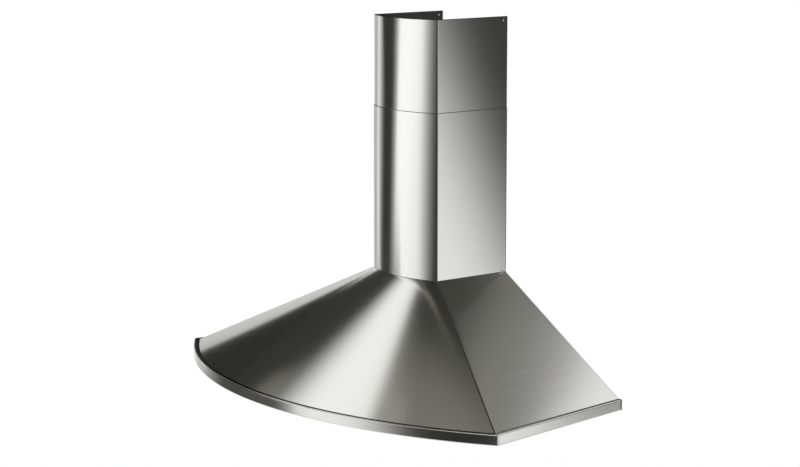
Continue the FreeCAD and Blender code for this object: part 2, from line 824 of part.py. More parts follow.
# Lamps: a cup on the pan, a trim ring below it, the glass in the ring and the bulb in its socket
panUpper = "rimSheet + panSheet"
cupTop = "panSheet + lampCupHeight"
for sideName, sign in sides.items():
    across = "%d * lampAcross" % sign
    cup = [("lampCupRadius - lampCupSheet", "panSheet"), ("lampCupFlange", "panSheet"),
           ("lampCupFlange", "panSheet + lampCupSheet"), ("lampCupRadius", "panSheet + lampCupSheet"),
           ("lampCupRadius", cupTop), ("0", cupTop), ("0", cupTop + " - lampCupSheet"),
           ("lampCupRadius - lampCupSheet", cupTop + " - lampCupSheet")]
    revolved("lamp_cup_" + sideName, "XZ_Plane", cup, "V_Axis", "lampForward", across, "rimSheet")
    trim = [("lampLensRadius", "-lampTrimHeight"), ("lampTrimRadius", "-lampTrimHeight"),
            ("lampTrimRadius", "0"), ("lampCupRadius - lampCupSheet - panGap", "0"),
            ("lampCupRadius - lampCupSheet - panGap", "lampLensThickness"),
            ("lampLensRadius", "lampLensThickness")]
    revolved("lamp_trim_" + sideName, "XZ_Plane", trim, "V_Axis", "lampForward", across, "rimSheet")
    glassTop = "lampLensThickness + lampLensLip"
    glass = [("0", "0"), ("lampLensRadius - seatClearance", "0"),
             ("lampLensRadius - seatClearance", "lampLensThickness"),
             ("lampLensRadius + lampLensLip", "lampLensThickness"), ("lampLensRadius + lampLensLip", glassTop),
             ("0", glassTop)]
    revolved("lamp_lens_" + sideName, "XZ_Plane", glass, "V_Axis", "lampForward", across, "rimSheet")
    socketLow = cupTop + " - lampCupSheet - socketHeight"
    bulb = [("0", socketLow + " - bulbLength"), ("bulbRadius / 2", socketLow + " - bulbLength"),
            ("bulbRadius", socketLow + " - bulbLength + bulbRadius / 2"), ("bulbRadius", socketLow),
            ("0", socketLow)]
    revolved("lamp_bulb_" + sideName, "XZ_Plane", bulb, "V_Axis", "lampForward", across, "rimSheet")
lampSockets = [cylinder("socket_" + sideName, "socketRadius", "socketHeight", "%d * lampAcross" % sign,
                        "-lampForward", "rimSheet + %s - lampCupSheet - socketHeight" % cupTop)
               for sideName, sign in sides.items()]
keep(group("lamp_sockets", lampSockets), "lamp_sockets")

# Push buttons in their bezel, under a box with one switch for each
bezelLowZ = "rimSheet - bezelLip"
bezelFlange = box("bezel_flange", "bezelWidth", "bezelDepth", "bezelLip", "-bezelWidth / 2",
                  "-buttonForward - bezelDepth / 2", bezelLowZ)
bezelInset = "(bezelLip + panGap)"
bezelBody = box("bezel_body", "bezelWidth - 2 * " + bezelInset, "bezelDepth - 2 * " + bezelInset, "bezelHeight",
                "-bezelWidth / 2 + " + bezelInset, "-buttonForward - bezelDepth / 2 + " + bezelInset, "rimSheet")
buttonHoles = []
for i, name in enumerate(buttonNames):
    across = "%g * buttonPitch" % (i - (len(buttonNames) - 1) / 2)
    buttonHoles.append(box("button_hole_" + name, "buttonWidth + 2 * buttonGap", "buttonDepth + 2 * buttonGap",
                           "bezelHeight + bezelLip + 2 * overrun", "%s - buttonWidth / 2 - buttonGap" % across,
                           "-buttonForward - buttonDepth / 2 - buttonGap", "rimSheet - bezelLip - overrun"))
bezelBlank = fuse("bezel_blank", [bezelFlange, bezelBody])
keep(cut("control_bezel", bezelBlank, fuse("button_holes", buttonHoles)), "control_bezel")

flangeLow = "rimSheet + bezelHeight + buttonGap"
for i, name in enumerate(buttonNames):
    button = startBody("button_" + name)
    capHalf, flangeHalf = "buttonWidth / 2", "buttonWidth / 2 + buttonFlange"
    stemTop = flangeLow + " + buttonFlangeHeight + buttonStem"
    profile = [("-(%s)" % capHalf, "-buttonProud"), (capHalf, "-buttonProud"), (capHalf, flangeLow),
               (flangeHalf, flangeLow), (flangeHalf, flangeLow + " + buttonFlangeHeight"),
               ("buttonStem / 2", flangeLow + " + buttonFlangeHeight"), ("buttonStem / 2", stemTop),
               ("-buttonStem / 2", stemTop), ("-buttonStem / 2", flangeLow + " + buttonFlangeHeight"),
               ("-(%s)" % flangeHalf, flangeLow + " + buttonFlangeHeight"), ("-(%s)" % flangeHalf, flangeLow),
               ("-(%s)" % capHalf, flangeLow)]
    outline = outlineSketch(button, "button_outline_" + name, "XZ_Plane", profile)
    pad(button, "button_block_" + name, outline, "buttonDepth", True)
    bind(button, "Placement.Base.x", "%g * buttonPitch" % (i - (len(buttonNames) - 1) / 2))
    bind(button, "Placement.Base.y", "-buttonForward")

boxLow = panUpper
switchOuter = box("switch_outer", "switchBoxWidth", "switchBoxDepth", "switchBoxHeight", "-switchBoxWidth / 2",
                  "-buttonForward - switchBoxDepth / 2", boxLow)
switchInner = box("switch_inner", "switchBoxWidth - 2 * switchBoxWall", "switchBoxDepth - 2 * switchBoxWall",
                  "switchBoxHeight - switchBoxWall + overrun", "-switchBoxWidth / 2 + switchBoxWall",
                  "-buttonForward - switchBoxDepth / 2 + switchBoxWall", boxLow + " - overrun")
keep(cut("switch_box", switchOuter, switchInner), "switch_box")
switchLow = "%s + buttonFlangeHeight + buttonStem + buttonTravel + buttonGap" % flangeLow
switchTop = "%s + switchBoxHeight - switchBoxWall" % boxLow
switches = [box("switch_" + name, "switchWidth", "switchDepth", "(%s) - (%s)" % (switchTop, switchLow),
                "%g * buttonPitch - switchWidth / 2" % (i - (len(buttonNames) - 1) / 2),
                "-buttonForward - switchDepth / 2", switchLow) for i, name in enumerate(buttonNames)]
keep(group("micro_switches", switches), "micro_switches")


# Blower casing: the scroll grows from the tongue round to the rear, then runs straight up

def scrollPoint(share, inset):
    """A point of the scroll in Y and Z, share 0 at the tongue and 1 at the rear."""
    angle = math.radians(scrollStartDegrees + share * (360 - scrollStartDegrees))
    radius = v.scrollStartRadius + share * (v.scrollEndRadius - v.scrollStartRadius) - inset
    return Vector(0, -v.blowerForward + radius * math.cos(angle), v.blowerHeight + radius * math.sin(angle))


def scrollFace(inset, top):
    edges = []
    for i in range(scrollArcCount):
        shares = [(i + part / 2) / scrollArcCount for part in range(3)]
        edges.append(Part.Arc(*[scrollPoint(share, inset) for share in shares]).toShape())
    start, end = scrollPoint(0, inset), scrollPoint(1, inset)
    tongue = Vector(0, start.y + inset, start.z)
    up = [start, tongue, Vector(0, tongue.y, top), Vector(0, end.y, top), end] if inset else \
        [start, Vector(0, start.y, top), Vector(0, end.y, top), end]
    edges += runs(up)
    return Part.Face(Part.Wire(Part.__sortEdges__(edges)))


def casingHalf(sign):
    top = canopyTop - v.plateSheet
    outer = scrollFace(0, top).extrude(Vector(sign * v.casingHalf, 0, 0))
    hollow = Vector(sign * (v.casingHalf - v.casingSheet), 0, 0)
    inner = scrollFace(v.casingSheet, top + v.overrun).extrude(hollow)
    inlet = rod(v.inletHoleRadius, v.casingHalf + v.overrun, 0, -v.blowerForward, v.blowerHeight,
                Vector(sign, 0, 0))
    rear, front = neckLimits(0)
    x0, x1 = sorted((0, sign * v.casingHalf))
    lips = [block(x0, x1, rear, rear + v.casingLip, top - v.casingSheet, top),
            block(x0, x1, front - v.casingLip, front, top - v.casingSheet, top)]
    holes = [rod(v.blowerScrewShank + v.screwClearance, 2 * v.overrun, x, y, top - v.overrun)
             for x, y in blowerScrewPlaces()]
    return outer.multiFuse(lips).cut([inner, inlet] + holes).removeSplitter()


for sideName, sign in sides.items():
    shaped("blower_casing_" + sideName, casingHalf(sign))


def blowerScrew(x, y):
    low = canopyTop - v.plateSheet - v.casingSheet
    head = rod(v.blowerScrewHead, v.blowerScrewHeadHeight, x, y, low - v.blowerScrewHeadHeight)
    return head.fuse(rod(v.blowerScrewShank, v.plateSheet + v.casingSheet, x, y, low))


shaped("blower_screws", Part.makeCompound([blowerScrew(x, y) for x, y in blowerScrewPlaces()]))


# Impeller: two end rings and a middle plate joined by forward-curved blades

def ring(outer, inner, x, width):
    axis = Vector(1, 0, 0)
    return rod(outer, width, x, 0, 0, axis).cut(rod(inner, width + 2 * v.overrun, x - v.overrun, 0, 0, axis))


def bladeFace():
    """One curved blade, drawn in Y and Z at the wheel's underside."""
    inner = v.wheelRadius - v.wheelBladeDepth + v.bladeOverlap
    outer = v.wheelRadius - v.bladeOverlap
    lean = math.radians(bladeLeanDegrees) * v.wheelBladeDepth / v.wheelRadius
    middle = (inner + outer) / 2

    def at(radius, turn, shift):
        return Vector(0, radius * math.sin(turn) + shift, radius * math.cos(turn))

    front = Part.Arc(at(inner, 0, 0), at(middle, lean / 2, v.bladeCurve), at(outer, lean, 0)).toShape()
    rear = Part.Arc(at(inner, 0, v.bladeSheet), at(middle, lean / 2, v.bladeCurve + v.bladeSheet),
                    at(outer, lean, v.bladeSheet)).toShape()
    ends = [Part.makeLine(at(inner, 0, 0), at(inner, 0, v.bladeSheet)),
            Part.makeLine(at(outer, lean, 0), at(outer, lean, v.bladeSheet))]
    return Part.Face(Part.Wire(Part.__sortEdges__([front, rear] + ends)))


def impellerWheel():
    inner = v.wheelRadius - v.wheelBladeDepth
    blade = bladeFace().extrude(Vector(2 * v.wheelHalf - v.wheelRing, 0, 0))
    blade.translate(Vector(-v.wheelHalf + v.wheelRing / 2, 0, 0))
    blades = []
    for i in range(bladeCount):
        turned = blade.copy()
        turned.rotate(Vector(), Vector(1, 0, 0), i * 360 / bladeCount)
        blades.append(turned)
    rings = [ring(v.wheelRadius, inner, -v.wheelHalf, v.wheelRing),
             ring(v.wheelRadius, inner, v.wheelHalf - v.wheelRing, v.wheelRing),
             ring(v.wheelRadius, v.shaftRadius + v.seatClearance, -v.wheelPlate, v.wheelPlate),
             ring(v.hubRadius, v.shaftRadius + v.seatClearance, -v.hubLength, v.hubLength)]
    wheel = rings[0].multiFuse(rings[1:] + blades)
    return wheel.translated(Vector(0, -v.blowerForward, v.blowerHeight))


shaped("impeller_wheel", impellerWheel())
axleY, axleZ = "-blowerForward", "blowerHeight"
shaft = cylinder("motor_shaft", "shaftRadius", "shaftLeft + shaftRight", "-shaftLeft", axleY, axleZ, "X")
keep(shaft, "motor_shaft")

# Motor on the same shaft: housing, stator, rotor and two bearings
motorEnd = "motorStart + motorLength"
motorInner = "motorRadius - motorSheet"
motorOuter = [("motorStart", "motorEndHole"), ("motorStart", "motorRadius"), (motorEnd, "motorRadius"),
              (motorEnd, "motorEndHole"), (motorEnd + " - motorSheet", "motorEndHole"),
              (motorEnd + " - motorSheet", motorInner), ("motorStart + motorSheet", motorInner),
              ("motorStart + motorSheet", "motorEndHole")]
revolved("motor_housing", "XZ_Plane", motorOuter, "H_Axis", "blowerForward", "0", "blowerHeight")
statorStart, statorEnd = "motorStart + statorInset", motorEnd + " - statorInset"
statorEdge = motorInner + " - seatClearance"
statorOuter = [(statorStart, "statorBore"), (statorStart, statorEdge), (statorEnd, statorEdge),
               (statorEnd, "statorBore")]
revolved("motor_stator", "XZ_Plane", statorOuter, "H_Axis", "blowerForward", "0", "blowerHeight")
rotorBore = "shaftRadius + seatClearance"
rotorOuter = [(statorStart, rotorBore), (statorStart, "rotorRadius"), (statorEnd, "rotorRadius"),
              (statorEnd, rotorBore)]
revolved("motor_rotor", "XZ_Plane", rotorOuter, "H_Axis", "blowerForward", "0", "blowerHeight")


def bearing(name, start):
    outer = cylinder(name + "_race", "bearingRadius", "motorSheet", start, axleY, axleZ, "X")
    bore = cylinder(name + "_bore", "shaftRadius + runClearance", "motorSheet + 2 * overrun",
                    start + " - overrun", axleY, axleZ, "X")
    return cut(name, outer, bore)


bearings = [bearing("bearing_inner", "motorStart"), bearing("bearing_outer", motorEnd + " - motorSheet")]
keep(group("motor_bearings", bearings), "motor_bearings")


def motorBracket():
    start = v.casingHalf
    arms = []
    near, far = v.bracketHub - v.bracketOverlap, v.bracketRingInner + v.bracketOverlap
    for i in range(motorArmCount):
        arm = block(start, start + v.bracketSheet, -v.bracketArm / 2, v.bracketArm / 2, near, far)
        arm.rotate(Vector(), Vector(1, 0, 0), i * 360 / motorArmCount)
        arms.append(arm)
    outer = ring(v.bracketRingOuter, v.bracketRingInner, start, v.bracketSheet)
    hub = ring(v.bracketHub, v.motorRadius + v.seatClearance, start, v.bracketSheet)
    whole = outer.multiFuse([hub] + arms)
    return whole.translated(Vector(0, -v.blowerForward, v.blowerHeight))


shaped("motor_bracket", motorBracket())

# Gasket and collar on the top plate, with the pin that carries the damper flaps
gasketLow = "rimHeight + canopyRise"
collarLow = gasketLow + " + gasketSheet"
bore = "collarRadius - collarSheet"


def collarRing(name, outer, inner, low, height):
    solid = cylinder(name + "_disc", outer, height, "0", "-collarForward", low)
    through = "(%s) + 2 * overrun" % height
    hole = cylinder(name + "_hole", inner, through, "0", "-collarForward", low + " - overrun")
    return cut(name, solid, hole)


keep(collarRing("collar_gasket", "collarFlange", bore, gasketLow, "gasketSheet"), "collar_gasket")
damperAxis = collarLow + " + damperHeight"
stopTop = damperAxis + " - damperSheet / 2 - damperStopGap"
collarShell = fuse("collar_shell", [
    collarRing("collar_tube", "collarRadius", bore, collarLow, "collarHeight"),
    collarRing("collar_foot", "collarFlange", bore, collarLow, "collarFlangeSheet"),
    collarRing("collar_stop", "collarRadius", bore + " - damperStopWidth", stopTop + " - damperStopSheet",
               "damperStopSheet")])
pinHole = cylinder("damper_pin_hole", "damperPinRadius + seatClearance", "2 * (collarRadius + overrun)",
                   "-collarRadius - overrun", "-collarForward", damperAxis, "X")
keep(cut("outlet_collar", collarShell, pinHole), "outlet_collar")
keep(cylinder("damper_pin", "damperPinRadius", "2 * (collarRadius - collarSheet / 2)",
              "-(collarRadius - collarSheet / 2)", "-collarForward", damperAxis, "X"), "damper_pin")


def damperFlap(facing, firstKnuckle):
    """Half a disc with its knuckles on the pin: facing -1 for the front flap, 1 for the rear."""
    axis = Vector(0, -v.collarForward, canopyTop + v.gasketSheet + v.damperHeight)
    reach = v.collarRadius - v.collarSheet - v.damperRimGap
    disc = rod(reach, v.damperSheet, axis.x, axis.y, axis.z - v.damperSheet / 2)
    near, far = sorted((axis.y + facing * v.damperPlateStart, axis.y + facing * (reach + v.overrun)))
    half = disc.common(block(-reach, reach, near, far, axis.z - v.damperSheet, axis.z + v.damperSheet))
    knuckles, webs = [], []
    step = v.damperKnuckleLength
    for i in range(knucklesPerFlap):
        x = -v.damperKnuckleStart + (2 * i + firstKnuckle) * step + v.damperKnuckleGap / 2
        length = step - v.damperKnuckleGap
        knuckles.append(rod(v.damperKnuckleRadius, length, x, axis.y, axis.z, Vector(1, 0, 0)))
        y0, y1 = sorted((axis.y, axis.y + facing * (v.damperPlateStart + v.damperSheet)))
        webs.append(block(x, x + length, y0, y1, axis.z - v.damperSheet / 2, axis.z + v.damperSheet / 2))
    pinBore = rod(v.damperPinRadius + v.runClearance, 2 * v.collarRadius, -v.collarRadius, axis.y, axis.z,
                  Vector(1, 0, 0))
    return half.multiFuse(knuckles + webs).cut(pinBore).removeSplitter()


shaped("damper_flap_front", damperFlap(-1, 0))
shaped("damper_flap_rear", damperFlap(1, 1))

# Terminal box, lamp driver and capacitor on the inside of the back panel
boxX = "-(boxFromCentre + boxWidth)"
terminalOuter = box("terminal_outer", "boxWidth", "boxDepth", "boxHeight", boxX, "-(backSheet + boxDepth)",
                    "boxBottom")
terminalInner = box("terminal_inner", "boxWidth - 2 * boxWall", "boxDepth", "boxHeight - 2 * boxWall",
                    boxX + " + boxWall", "-(backSheet + boxDepth + boxWall)", "boxBottom + boxWall")
terminalInlet = cylinder("terminal_inlet", "inletRadius", "boxDepth", "-inletAcross", "-boxDepth",
                         "inletHeight", "Y")
terminalHollow = fuse("terminal_hollow", [terminalInner, terminalInlet])
keep(cut("terminal_box", terminalOuter, terminalHollow), "terminal_box")
keep(box("terminal_box_lid", "boxWidth", "lidSheet", "boxHeight", boxX, "-(backSheet + boxDepth + lidSheet)",
         "boxBottom"), "terminal_box_lid")
keep(box("lamp_driver", "boxWidth", "driverDepth", "boxHeight", "boxFromCentre", "-(backSheet + driverDepth)",
         "boxBottom"), "lamp_driver")
grommetTube = cylinder("grommet_tube", "inletRadius - seatClearance", "backSheet + boxWall + grommetLipSheet",
                       "-inletAcross", "-(backSheet + boxWall + grommetLipSheet)", "inletHeight", "Y")
grommetInner = cylinder("grommet_inner", "inletRadius + grommetLip", "grommetLipSheet", "-inletAcross",
                        "-(backSheet + boxWall + grommetLipSheet)", "inletHeight", "Y")
grommetBore = cylinder("grommet_bore", "grommetBore", "boxDepth + 2 * overrun", "-inletAcross",
                       "-(boxDepth + overrun)", "inletHeight", "Y")
grommetBlank = fuse("grommet_blank", [grommetTube, grommetInner])
keep(cut("inlet_grommet", grommetBlank, grommetBore), "inlet_grommet")
capacitorY = "-(backSheet + clipWall + capacitorRadius)"
keep(cylinder("capacitor", "capacitorRadius", "capacitorLength", "-capacitorFromCentre", capacitorY,
              "capacitorBottom"), "capacitor")


def capacitorClip():
    """A band round the capacitor with a flat foot against the back panel."""
    y = -(v.backSheet + v.clipWall + v.capacitorRadius)
    low = v.capacitorBottom + (v.capacitorLength - v.clipWidth) / 2
    outer = v.capacitorRadius + v.clipWall
    band = rod(outer, v.clipWidth, -v.capacitorFromCentre, y, low)
    foot = block(-v.capacitorFromCentre - outer, -v.capacitorFromCentre + outer, -v.backSheet - v.clipWall,
                 -v.backSheet, low, low + v.clipWidth)
    bore = rod(v.capacitorRadius + v.seatClearance, v.clipWidth + 2 * v.overrun, -v.capacitorFromCentre, y,
               low - v.overrun)
    return band.fuse(foot).cut(bore).removeSplitter()


shaped("capacitor_clip", capacitorClip())

# Test of every feature, then one file for each sub-part
doc.recompute()
for obj in doc.Objects:
    if "Invalid" in obj.State or "Error" in obj.State:
        raise RuntimeError("%s failed: %s" % (obj.Label, obj.State))
os.makedirs("parts", exist_ok=True)
for obj in subparts:
    if obj.Shape.isNull() or not obj.Shape.isValid() or not obj.Shape.Solids:
        raise RuntimeError("%s has no valid solid" % obj.Label)
    print("%-26s solids %2d  volume %10.1f" % (obj.Label, len(obj.Shape.Solids), obj.Shape.Volume))
for obj in subparts:
    obj.Shape.exportStep("parts/%s.step" % obj.Label)
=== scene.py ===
import json
import math

import bmesh
import bpy
from mathutils import Matrix, Vector


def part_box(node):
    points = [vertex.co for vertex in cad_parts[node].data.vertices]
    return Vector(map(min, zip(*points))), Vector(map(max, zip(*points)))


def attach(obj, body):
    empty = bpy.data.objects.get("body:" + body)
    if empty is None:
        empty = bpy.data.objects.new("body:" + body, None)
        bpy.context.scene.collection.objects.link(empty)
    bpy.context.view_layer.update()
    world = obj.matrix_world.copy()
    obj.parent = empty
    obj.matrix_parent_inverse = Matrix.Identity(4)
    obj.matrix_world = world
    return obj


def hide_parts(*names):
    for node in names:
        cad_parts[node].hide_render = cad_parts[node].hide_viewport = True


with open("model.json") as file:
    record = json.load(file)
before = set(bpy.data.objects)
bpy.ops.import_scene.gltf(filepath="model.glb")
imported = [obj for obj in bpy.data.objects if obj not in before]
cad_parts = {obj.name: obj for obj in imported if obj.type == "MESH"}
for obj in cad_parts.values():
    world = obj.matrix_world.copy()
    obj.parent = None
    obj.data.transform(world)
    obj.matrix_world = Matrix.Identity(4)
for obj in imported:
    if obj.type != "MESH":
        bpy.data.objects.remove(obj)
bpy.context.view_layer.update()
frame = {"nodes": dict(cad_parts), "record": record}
hood = "hood"
print("frame loaded:", len(frame["nodes"]), "nodes")

# Camera at the photograph's place; its values are the result of a fit to corners and curves measured in it
cameraView = {"azimuth": 52.64, "elevation": 9.71, "lens": 97.49, "place": (3.0043, -2.4611, 0.7977)}


def directionTo(azimuth, elevation):
    a, e = math.radians(azimuth), math.radians(elevation)
    return Vector((math.sin(a) * math.cos(e), -math.cos(a) * math.cos(e), math.sin(e)))


def addCamera(values):
    data = bpy.data.cameras.new("camera")
    data.lens = values["lens"]
    data.clip_start, data.clip_end = 0.05, 100
    camera = bpy.data.objects.new("camera", data)
    camera.location = values["place"]
    camera.rotation_mode = "QUATERNION"
    towards = -directionTo(values["azimuth"], values["elevation"])
    camera.rotation_quaternion = towards.to_track_quat("-Z", "Y")
    bpy.context.collection.objects.link(camera)
    bpy.context.scene.camera = camera


addCamera(cameraView)


# Node helpers: a value may be a number, a colour or another node's output

def fill(tree, socket, value):
    if isinstance(value, bpy.types.NodeSocket):
        tree.links.new(value, socket)
    else:
        socket.default_value = value


def fillAll(tree, node, inputs):
    for name, value in inputs.items():
        fill(tree, node.inputs[name], value)
    return node


def addNode(tree, kind, inputs=None, **settings):
    made = tree.nodes.new(kind)
    for name, value in settings.items():
        setattr(made, name, value)
    return fillAll(tree, made, inputs or {})


def calc(tree, operation, a, b=0.0, c=None):
    made = addNode(tree, "ShaderNodeMath", {0: a, 1: b}, operation=operation)
    if c is not None:
        fill(tree, made.inputs[2], c)
    return made.outputs[0]


def mapRange(tree, value, low, high, start=0.0, end=1.0, interpolation="LINEAR"):
    made = addNode(tree, "ShaderNodeMapRange", {"Value": value, "From Min": low, "From Max": high,
                                                "To Min": start, "To Max": end},
                   interpolation_type=interpolation)
    return made.outputs["Result"]


def smoothRange(tree, value, low, high, start=0.0, end=1.0):
    return mapRange(tree, value, low, high, start, end, "SMOOTHSTEP")


def enabledSocket(sockets, name=None):
    # A node with several data types has a socket for each, and only those of its own type are enabled
    return [s for s in sockets if s.enabled and name in (None, s.name)][0]


def socketKind(value):
    if isinstance(value, str):
        return value
    if isinstance(value, tuple):
        return "Vector" if len(value) == 3 else "Color"
    return "Int" if isinstance(value, int) else "Float"


def newGroup(name, kind, inputs, outputs):
    # Sockets are named with a first value each, or with the name of a kind that has none
    group = bpy.data.node_groups.new(name, kind)
    for direction, sockets in (("INPUT", inputs), ("OUTPUT", outputs)):
        for label, value in sockets.items():
            made = group.interface.new_socket(label, in_out=direction,
                                              socket_type="NodeSocket" + socketKind(value))
            if not isinstance(value, str):
                made.default_value = value
    return group, group.nodes.new("NodeGroupInput").outputs, group.nodes.new("NodeGroupOutput").inputs


def useGroup(tree, group, inputs):
    return addNode(tree, "ShaderNodeGroup", inputs, node_tree=group)


# Shader groups shared by the materials; the grain and the mould texture read the piece's own Object
# coordinates

def grainGroup():
    group, given, out = newGroup("brushedGrain", "ShaderNodeTree",
                                 {"Direction": (2.0, 2.0, 900.0), "Base": 0.2, "Spread": 0.04, "Cloud": 0.03},
                                 {"Roughness": "Float", "Height": "Float"})
    place = addNode(group, "ShaderNodeTexCoord").outputs["Object"]
    stretched = addNode(group, "ShaderNodeVectorMath", {0: place, 1: given["Direction"]},
                        operation="MULTIPLY")
    fine = addNode(group, "ShaderNodeTexNoise", {"Vector": stretched.outputs[0], "Scale": 1.0, "Detail": 3.0,
                                                 "Roughness": 0.6}).outputs["Fac"]
    cloud = addNode(group, "ShaderNodeTexNoise", {"Vector": place, "Scale": 7.0,
                                                  "Detail": 2.0}).outputs["Fac"]
    streak = calc(group, "SUBTRACT", fine, 0.5)
    rough = calc(group, "MULTIPLY_ADD", streak, given["Spread"], given["Base"])
    patch = calc(group, "SUBTRACT", cloud, 0.5)
    fill(group, out["Roughness"], calc(group, "MULTIPLY_ADD", patch, given["Cloud"], rough))
    fill(group, out["Height"], fine)
    return group


def mouldGroup():
    group, given, out = newGroup("mouldTexture", "ShaderNodeTree",
                                 {"Scale": 900.0, "Base": 0.5, "Spread": 0.1},
                                 {"Roughness": "Float", "Height": "Float"})
    place = addNode(group, "ShaderNodeTexCoord").outputs["Object"]
    pores = addNode(group, "ShaderNodeTexNoise", {"Vector": place, "Scale": given["Scale"],
                                                  "Detail": 2.0}).outputs["Fac"]
    cloud = addNode(group, "ShaderNodeTexNoise", {"Vector": place, "Scale": 25.0,
                                                  "Detail": 3.0}).outputs["Fac"]
    patch = calc(group, "SUBTRACT", cloud, 0.5)
    fill(group, out["Roughness"], calc(group, "MULTIPLY_ADD", patch, given["Spread"], given["Base"]))
    fill(group, out["Height"], pores)
    return group


def tintGroup():
    group, given, out = newGroup("toneShift", "ShaderNodeTree",
                                 {"Colour": (0.5, 0.5, 0.5, 1.0), "Mask": 0.5, "Amount": 0.1},
                                 {"Colour": "Color"})
    centred = calc(group, "SUBTRACT", given["Mask"], 0.5)
    factor = calc(group, "MULTIPLY_ADD", centred, given["Amount"], 1.0)
    scaled = addNode(group, "ShaderNodeVectorMath", {0: given["Colour"], "Scale": factor}, operation="SCALE")
    fill(group, out["Colour"], scaled.outputs[0])
    return group


brushedGrain = grainGroup()
mouldTexture = mouldGroup()
toneShift = tintGroup()

metalLooks = {
    "brushed_steel": {"colour": (0.76, 0.757, 0.727), "roughness": 0.12, "spread": 0.04, "cloud": 0.02,
                      "direction": (3.0, 3.0, 900.0), "bump": 0.04, "depth": 0.00003, "tone": 0.04},
    "plated_steel": {"colour": (0.60, 0.605, 0.61), "roughness": 0.34, "spread": 0.08, "cloud": 0.16,
                     "direction": (60.0, 60.0, 60.0), "bump": 0.05, "depth": 0.0001, "tone": 0.12},
    "screw_steel": {"colour": (0.88, 0.875, 0.86), "roughness": 0.14, "spread": 0.06, "cloud": 0.05,
                    "direction": (400.0, 400.0, 400.0), "bump": 0.1, "depth": 0.00005, "tone": 0.06},
    "filter_aluminium": {"colour": (0.78, 0.785, 0.79), "roughness": 0.30, "spread": 0.12, "cloud": 0.08,
                         "direction": (900.0, 8.0, 8.0), "bump": 0.1, "depth": 0.00005, "tone": 0.08},
    "chrome_trim": {"colour": (0.82, 0.82, 0.83), "roughness": 0.08, "spread": 0.03, "cloud": 0.03,
                    "direction": (200.0, 200.0, 200.0), "bump": 0.02, "depth": 0.00003, "tone": 0.03},
    "stator_iron": {"colour": (0.30, 0.28, 0.26), "roughness": 0.5, "spread": 0.2, "cloud": 0.1,
                    "direction": (1400.0, 10.0, 10.0), "bump": 0.3, "depth": 0.0002, "tone": 0.3},
    "bearing_brass": {"colour": (0.72, 0.55, 0.30), "roughness": 0.38, "spread": 0.1, "cloud": 0.1,
                      "direction": (700.0, 700.0, 700.0), "bump": 0.1, "depth": 0.00008, "tone": 0.15},
}
mouldedLooks = {
    "black_plastic": {"colour": (0.022, 0.022, 0.023), "roughness": 0.5, "spread": 0.12, "scale": 1400.0,
                      "bump": 0.15, "tone": 0.2},
    "grey_plastic": {"colour": (0.25, 0.255, 0.26), "roughness": 0.55, "spread": 0.1, "scale": 1100.0,
                     "bump": 0.15, "tone": 0.06},
    "white_plastic": {"colour": (0.76, 0.755, 0.735), "roughness": 0.45, "spread": 0.1, "scale": 1000.0,
                      "bump": 0.1, "tone": 0.04},
    "button_plastic": {"colour": (0.50, 0.50, 0.505), "roughness": 0.28, "spread": 0.08, "scale": 1800.0,
                       "bump": 0.05, "tone": 0.04},
    "motor_paint": {"colour": (0.02, 0.02, 0.021), "roughness": 0.35, "spread": 0.1, "scale": 500.0,
                    "bump": 0.2, "tone": 0.1},
    "seal_rubber": {"colour": (0.018, 0.018, 0.018), "roughness": 0.75, "spread": 0.15, "scale": 900.0,
                    "bump": 0.25, "tone": 0.3},
}
glassLooks = {
    "lamp_glass": {"colour": (0.93, 0.95, 0.95), "roughness": 0.35, "spread": 0.03, "scale": 700.0,
                   "bump": 0.2},
    "bulb_glass": {"colour": (0.96, 0.96, 0.96), "roughness": 0.04, "spread": 0.03, "scale": 120.0,
                   "bump": 0.02},
}
poreDepth = 0.0001  # metres, for plastics and glass
# How much rougher a sheet's unpolished inner side is, how much darker its colour is painted there as shade,
# and how much less it shines at a low angle
innerLook = {"rougher": 0.2, "darker": 0.88, "lowShine": 0.46}


def newMaterial(name):
    material = bpy.data.materials.new(name)
    material.use_nodes = True
    tree = material.node_tree
    return material, tree, tree.nodes["Principled BSDF"]


def tonedColour(tree, texture, look):
    tone = useGroup(tree, toneShift, {"Colour": (*look["colour"], 1), "Mask": texture.outputs["Height"],
                                      "Amount": look["tone"]})
    return tone.outputs["Colour"]


def textureSurface(tree, surface, texture, look, depth):
    bump = addNode(tree, "ShaderNodeBump", {"Height": texture.outputs["Height"], "Strength": look["bump"],
                                            "Distance": depth})
    fillAll(tree, surface, {"Roughness": texture.outputs["Roughness"], "Normal": bump.outputs["Normal"]})


def metalMaterial(name, look):
    # A sheet's attribute "inner" is 1 on its unpolished inner side and a share of that along edges, folds and
    # the sunk ledge; there the steel is rougher and its colour is painted darker, painted shade of the hollow
    # inside, the joins, seams and grooves and along the ridge
    material, tree, surface = newMaterial(name)
    inner = addNode(tree, "ShaderNodeAttribute", attribute_name="inner").outputs["Fac"]
    base = calc(tree, "MULTIPLY_ADD", inner, innerLook["rougher"], look["roughness"])
    # Painted shade: the colour is scaled down by the inner amount
    kept = calc(tree, "MULTIPLY_ADD", inner, -innerLook["darker"], 1.0)
    shine = calc(tree, "MULTIPLY_ADD", inner, -innerLook["lowShine"], 1.0)
    grain = useGroup(tree, brushedGrain, {"Direction": look["direction"], "Spread": look["spread"],
                                          "Base": base, "Cloud": look["cloud"]})
    shadedColour = addNode(tree, "ShaderNodeVectorMath", {0: tonedColour(tree, grain, look), "Scale": kept},
                     operation="SCALE")
    fillAll(tree, surface, {"Metallic": 1.0, "Base Color": shadedColour.outputs[0], "Specular Tint": shine})
    textureSurface(tree, surface, grain, look, look["depth"])
    return material


def mouldedMaterial(name, look):
    material, tree, surface = newMaterial(name)
    texture = useGroup(tree, mouldTexture, {"Scale": look["scale"], "Base": look["roughness"],
                                            "Spread": look["spread"]})
    fill(tree, surface.inputs["Base Color"], tonedColour(tree, texture, look))
    textureSurface(tree, surface, texture, look, poreDepth)
    return material


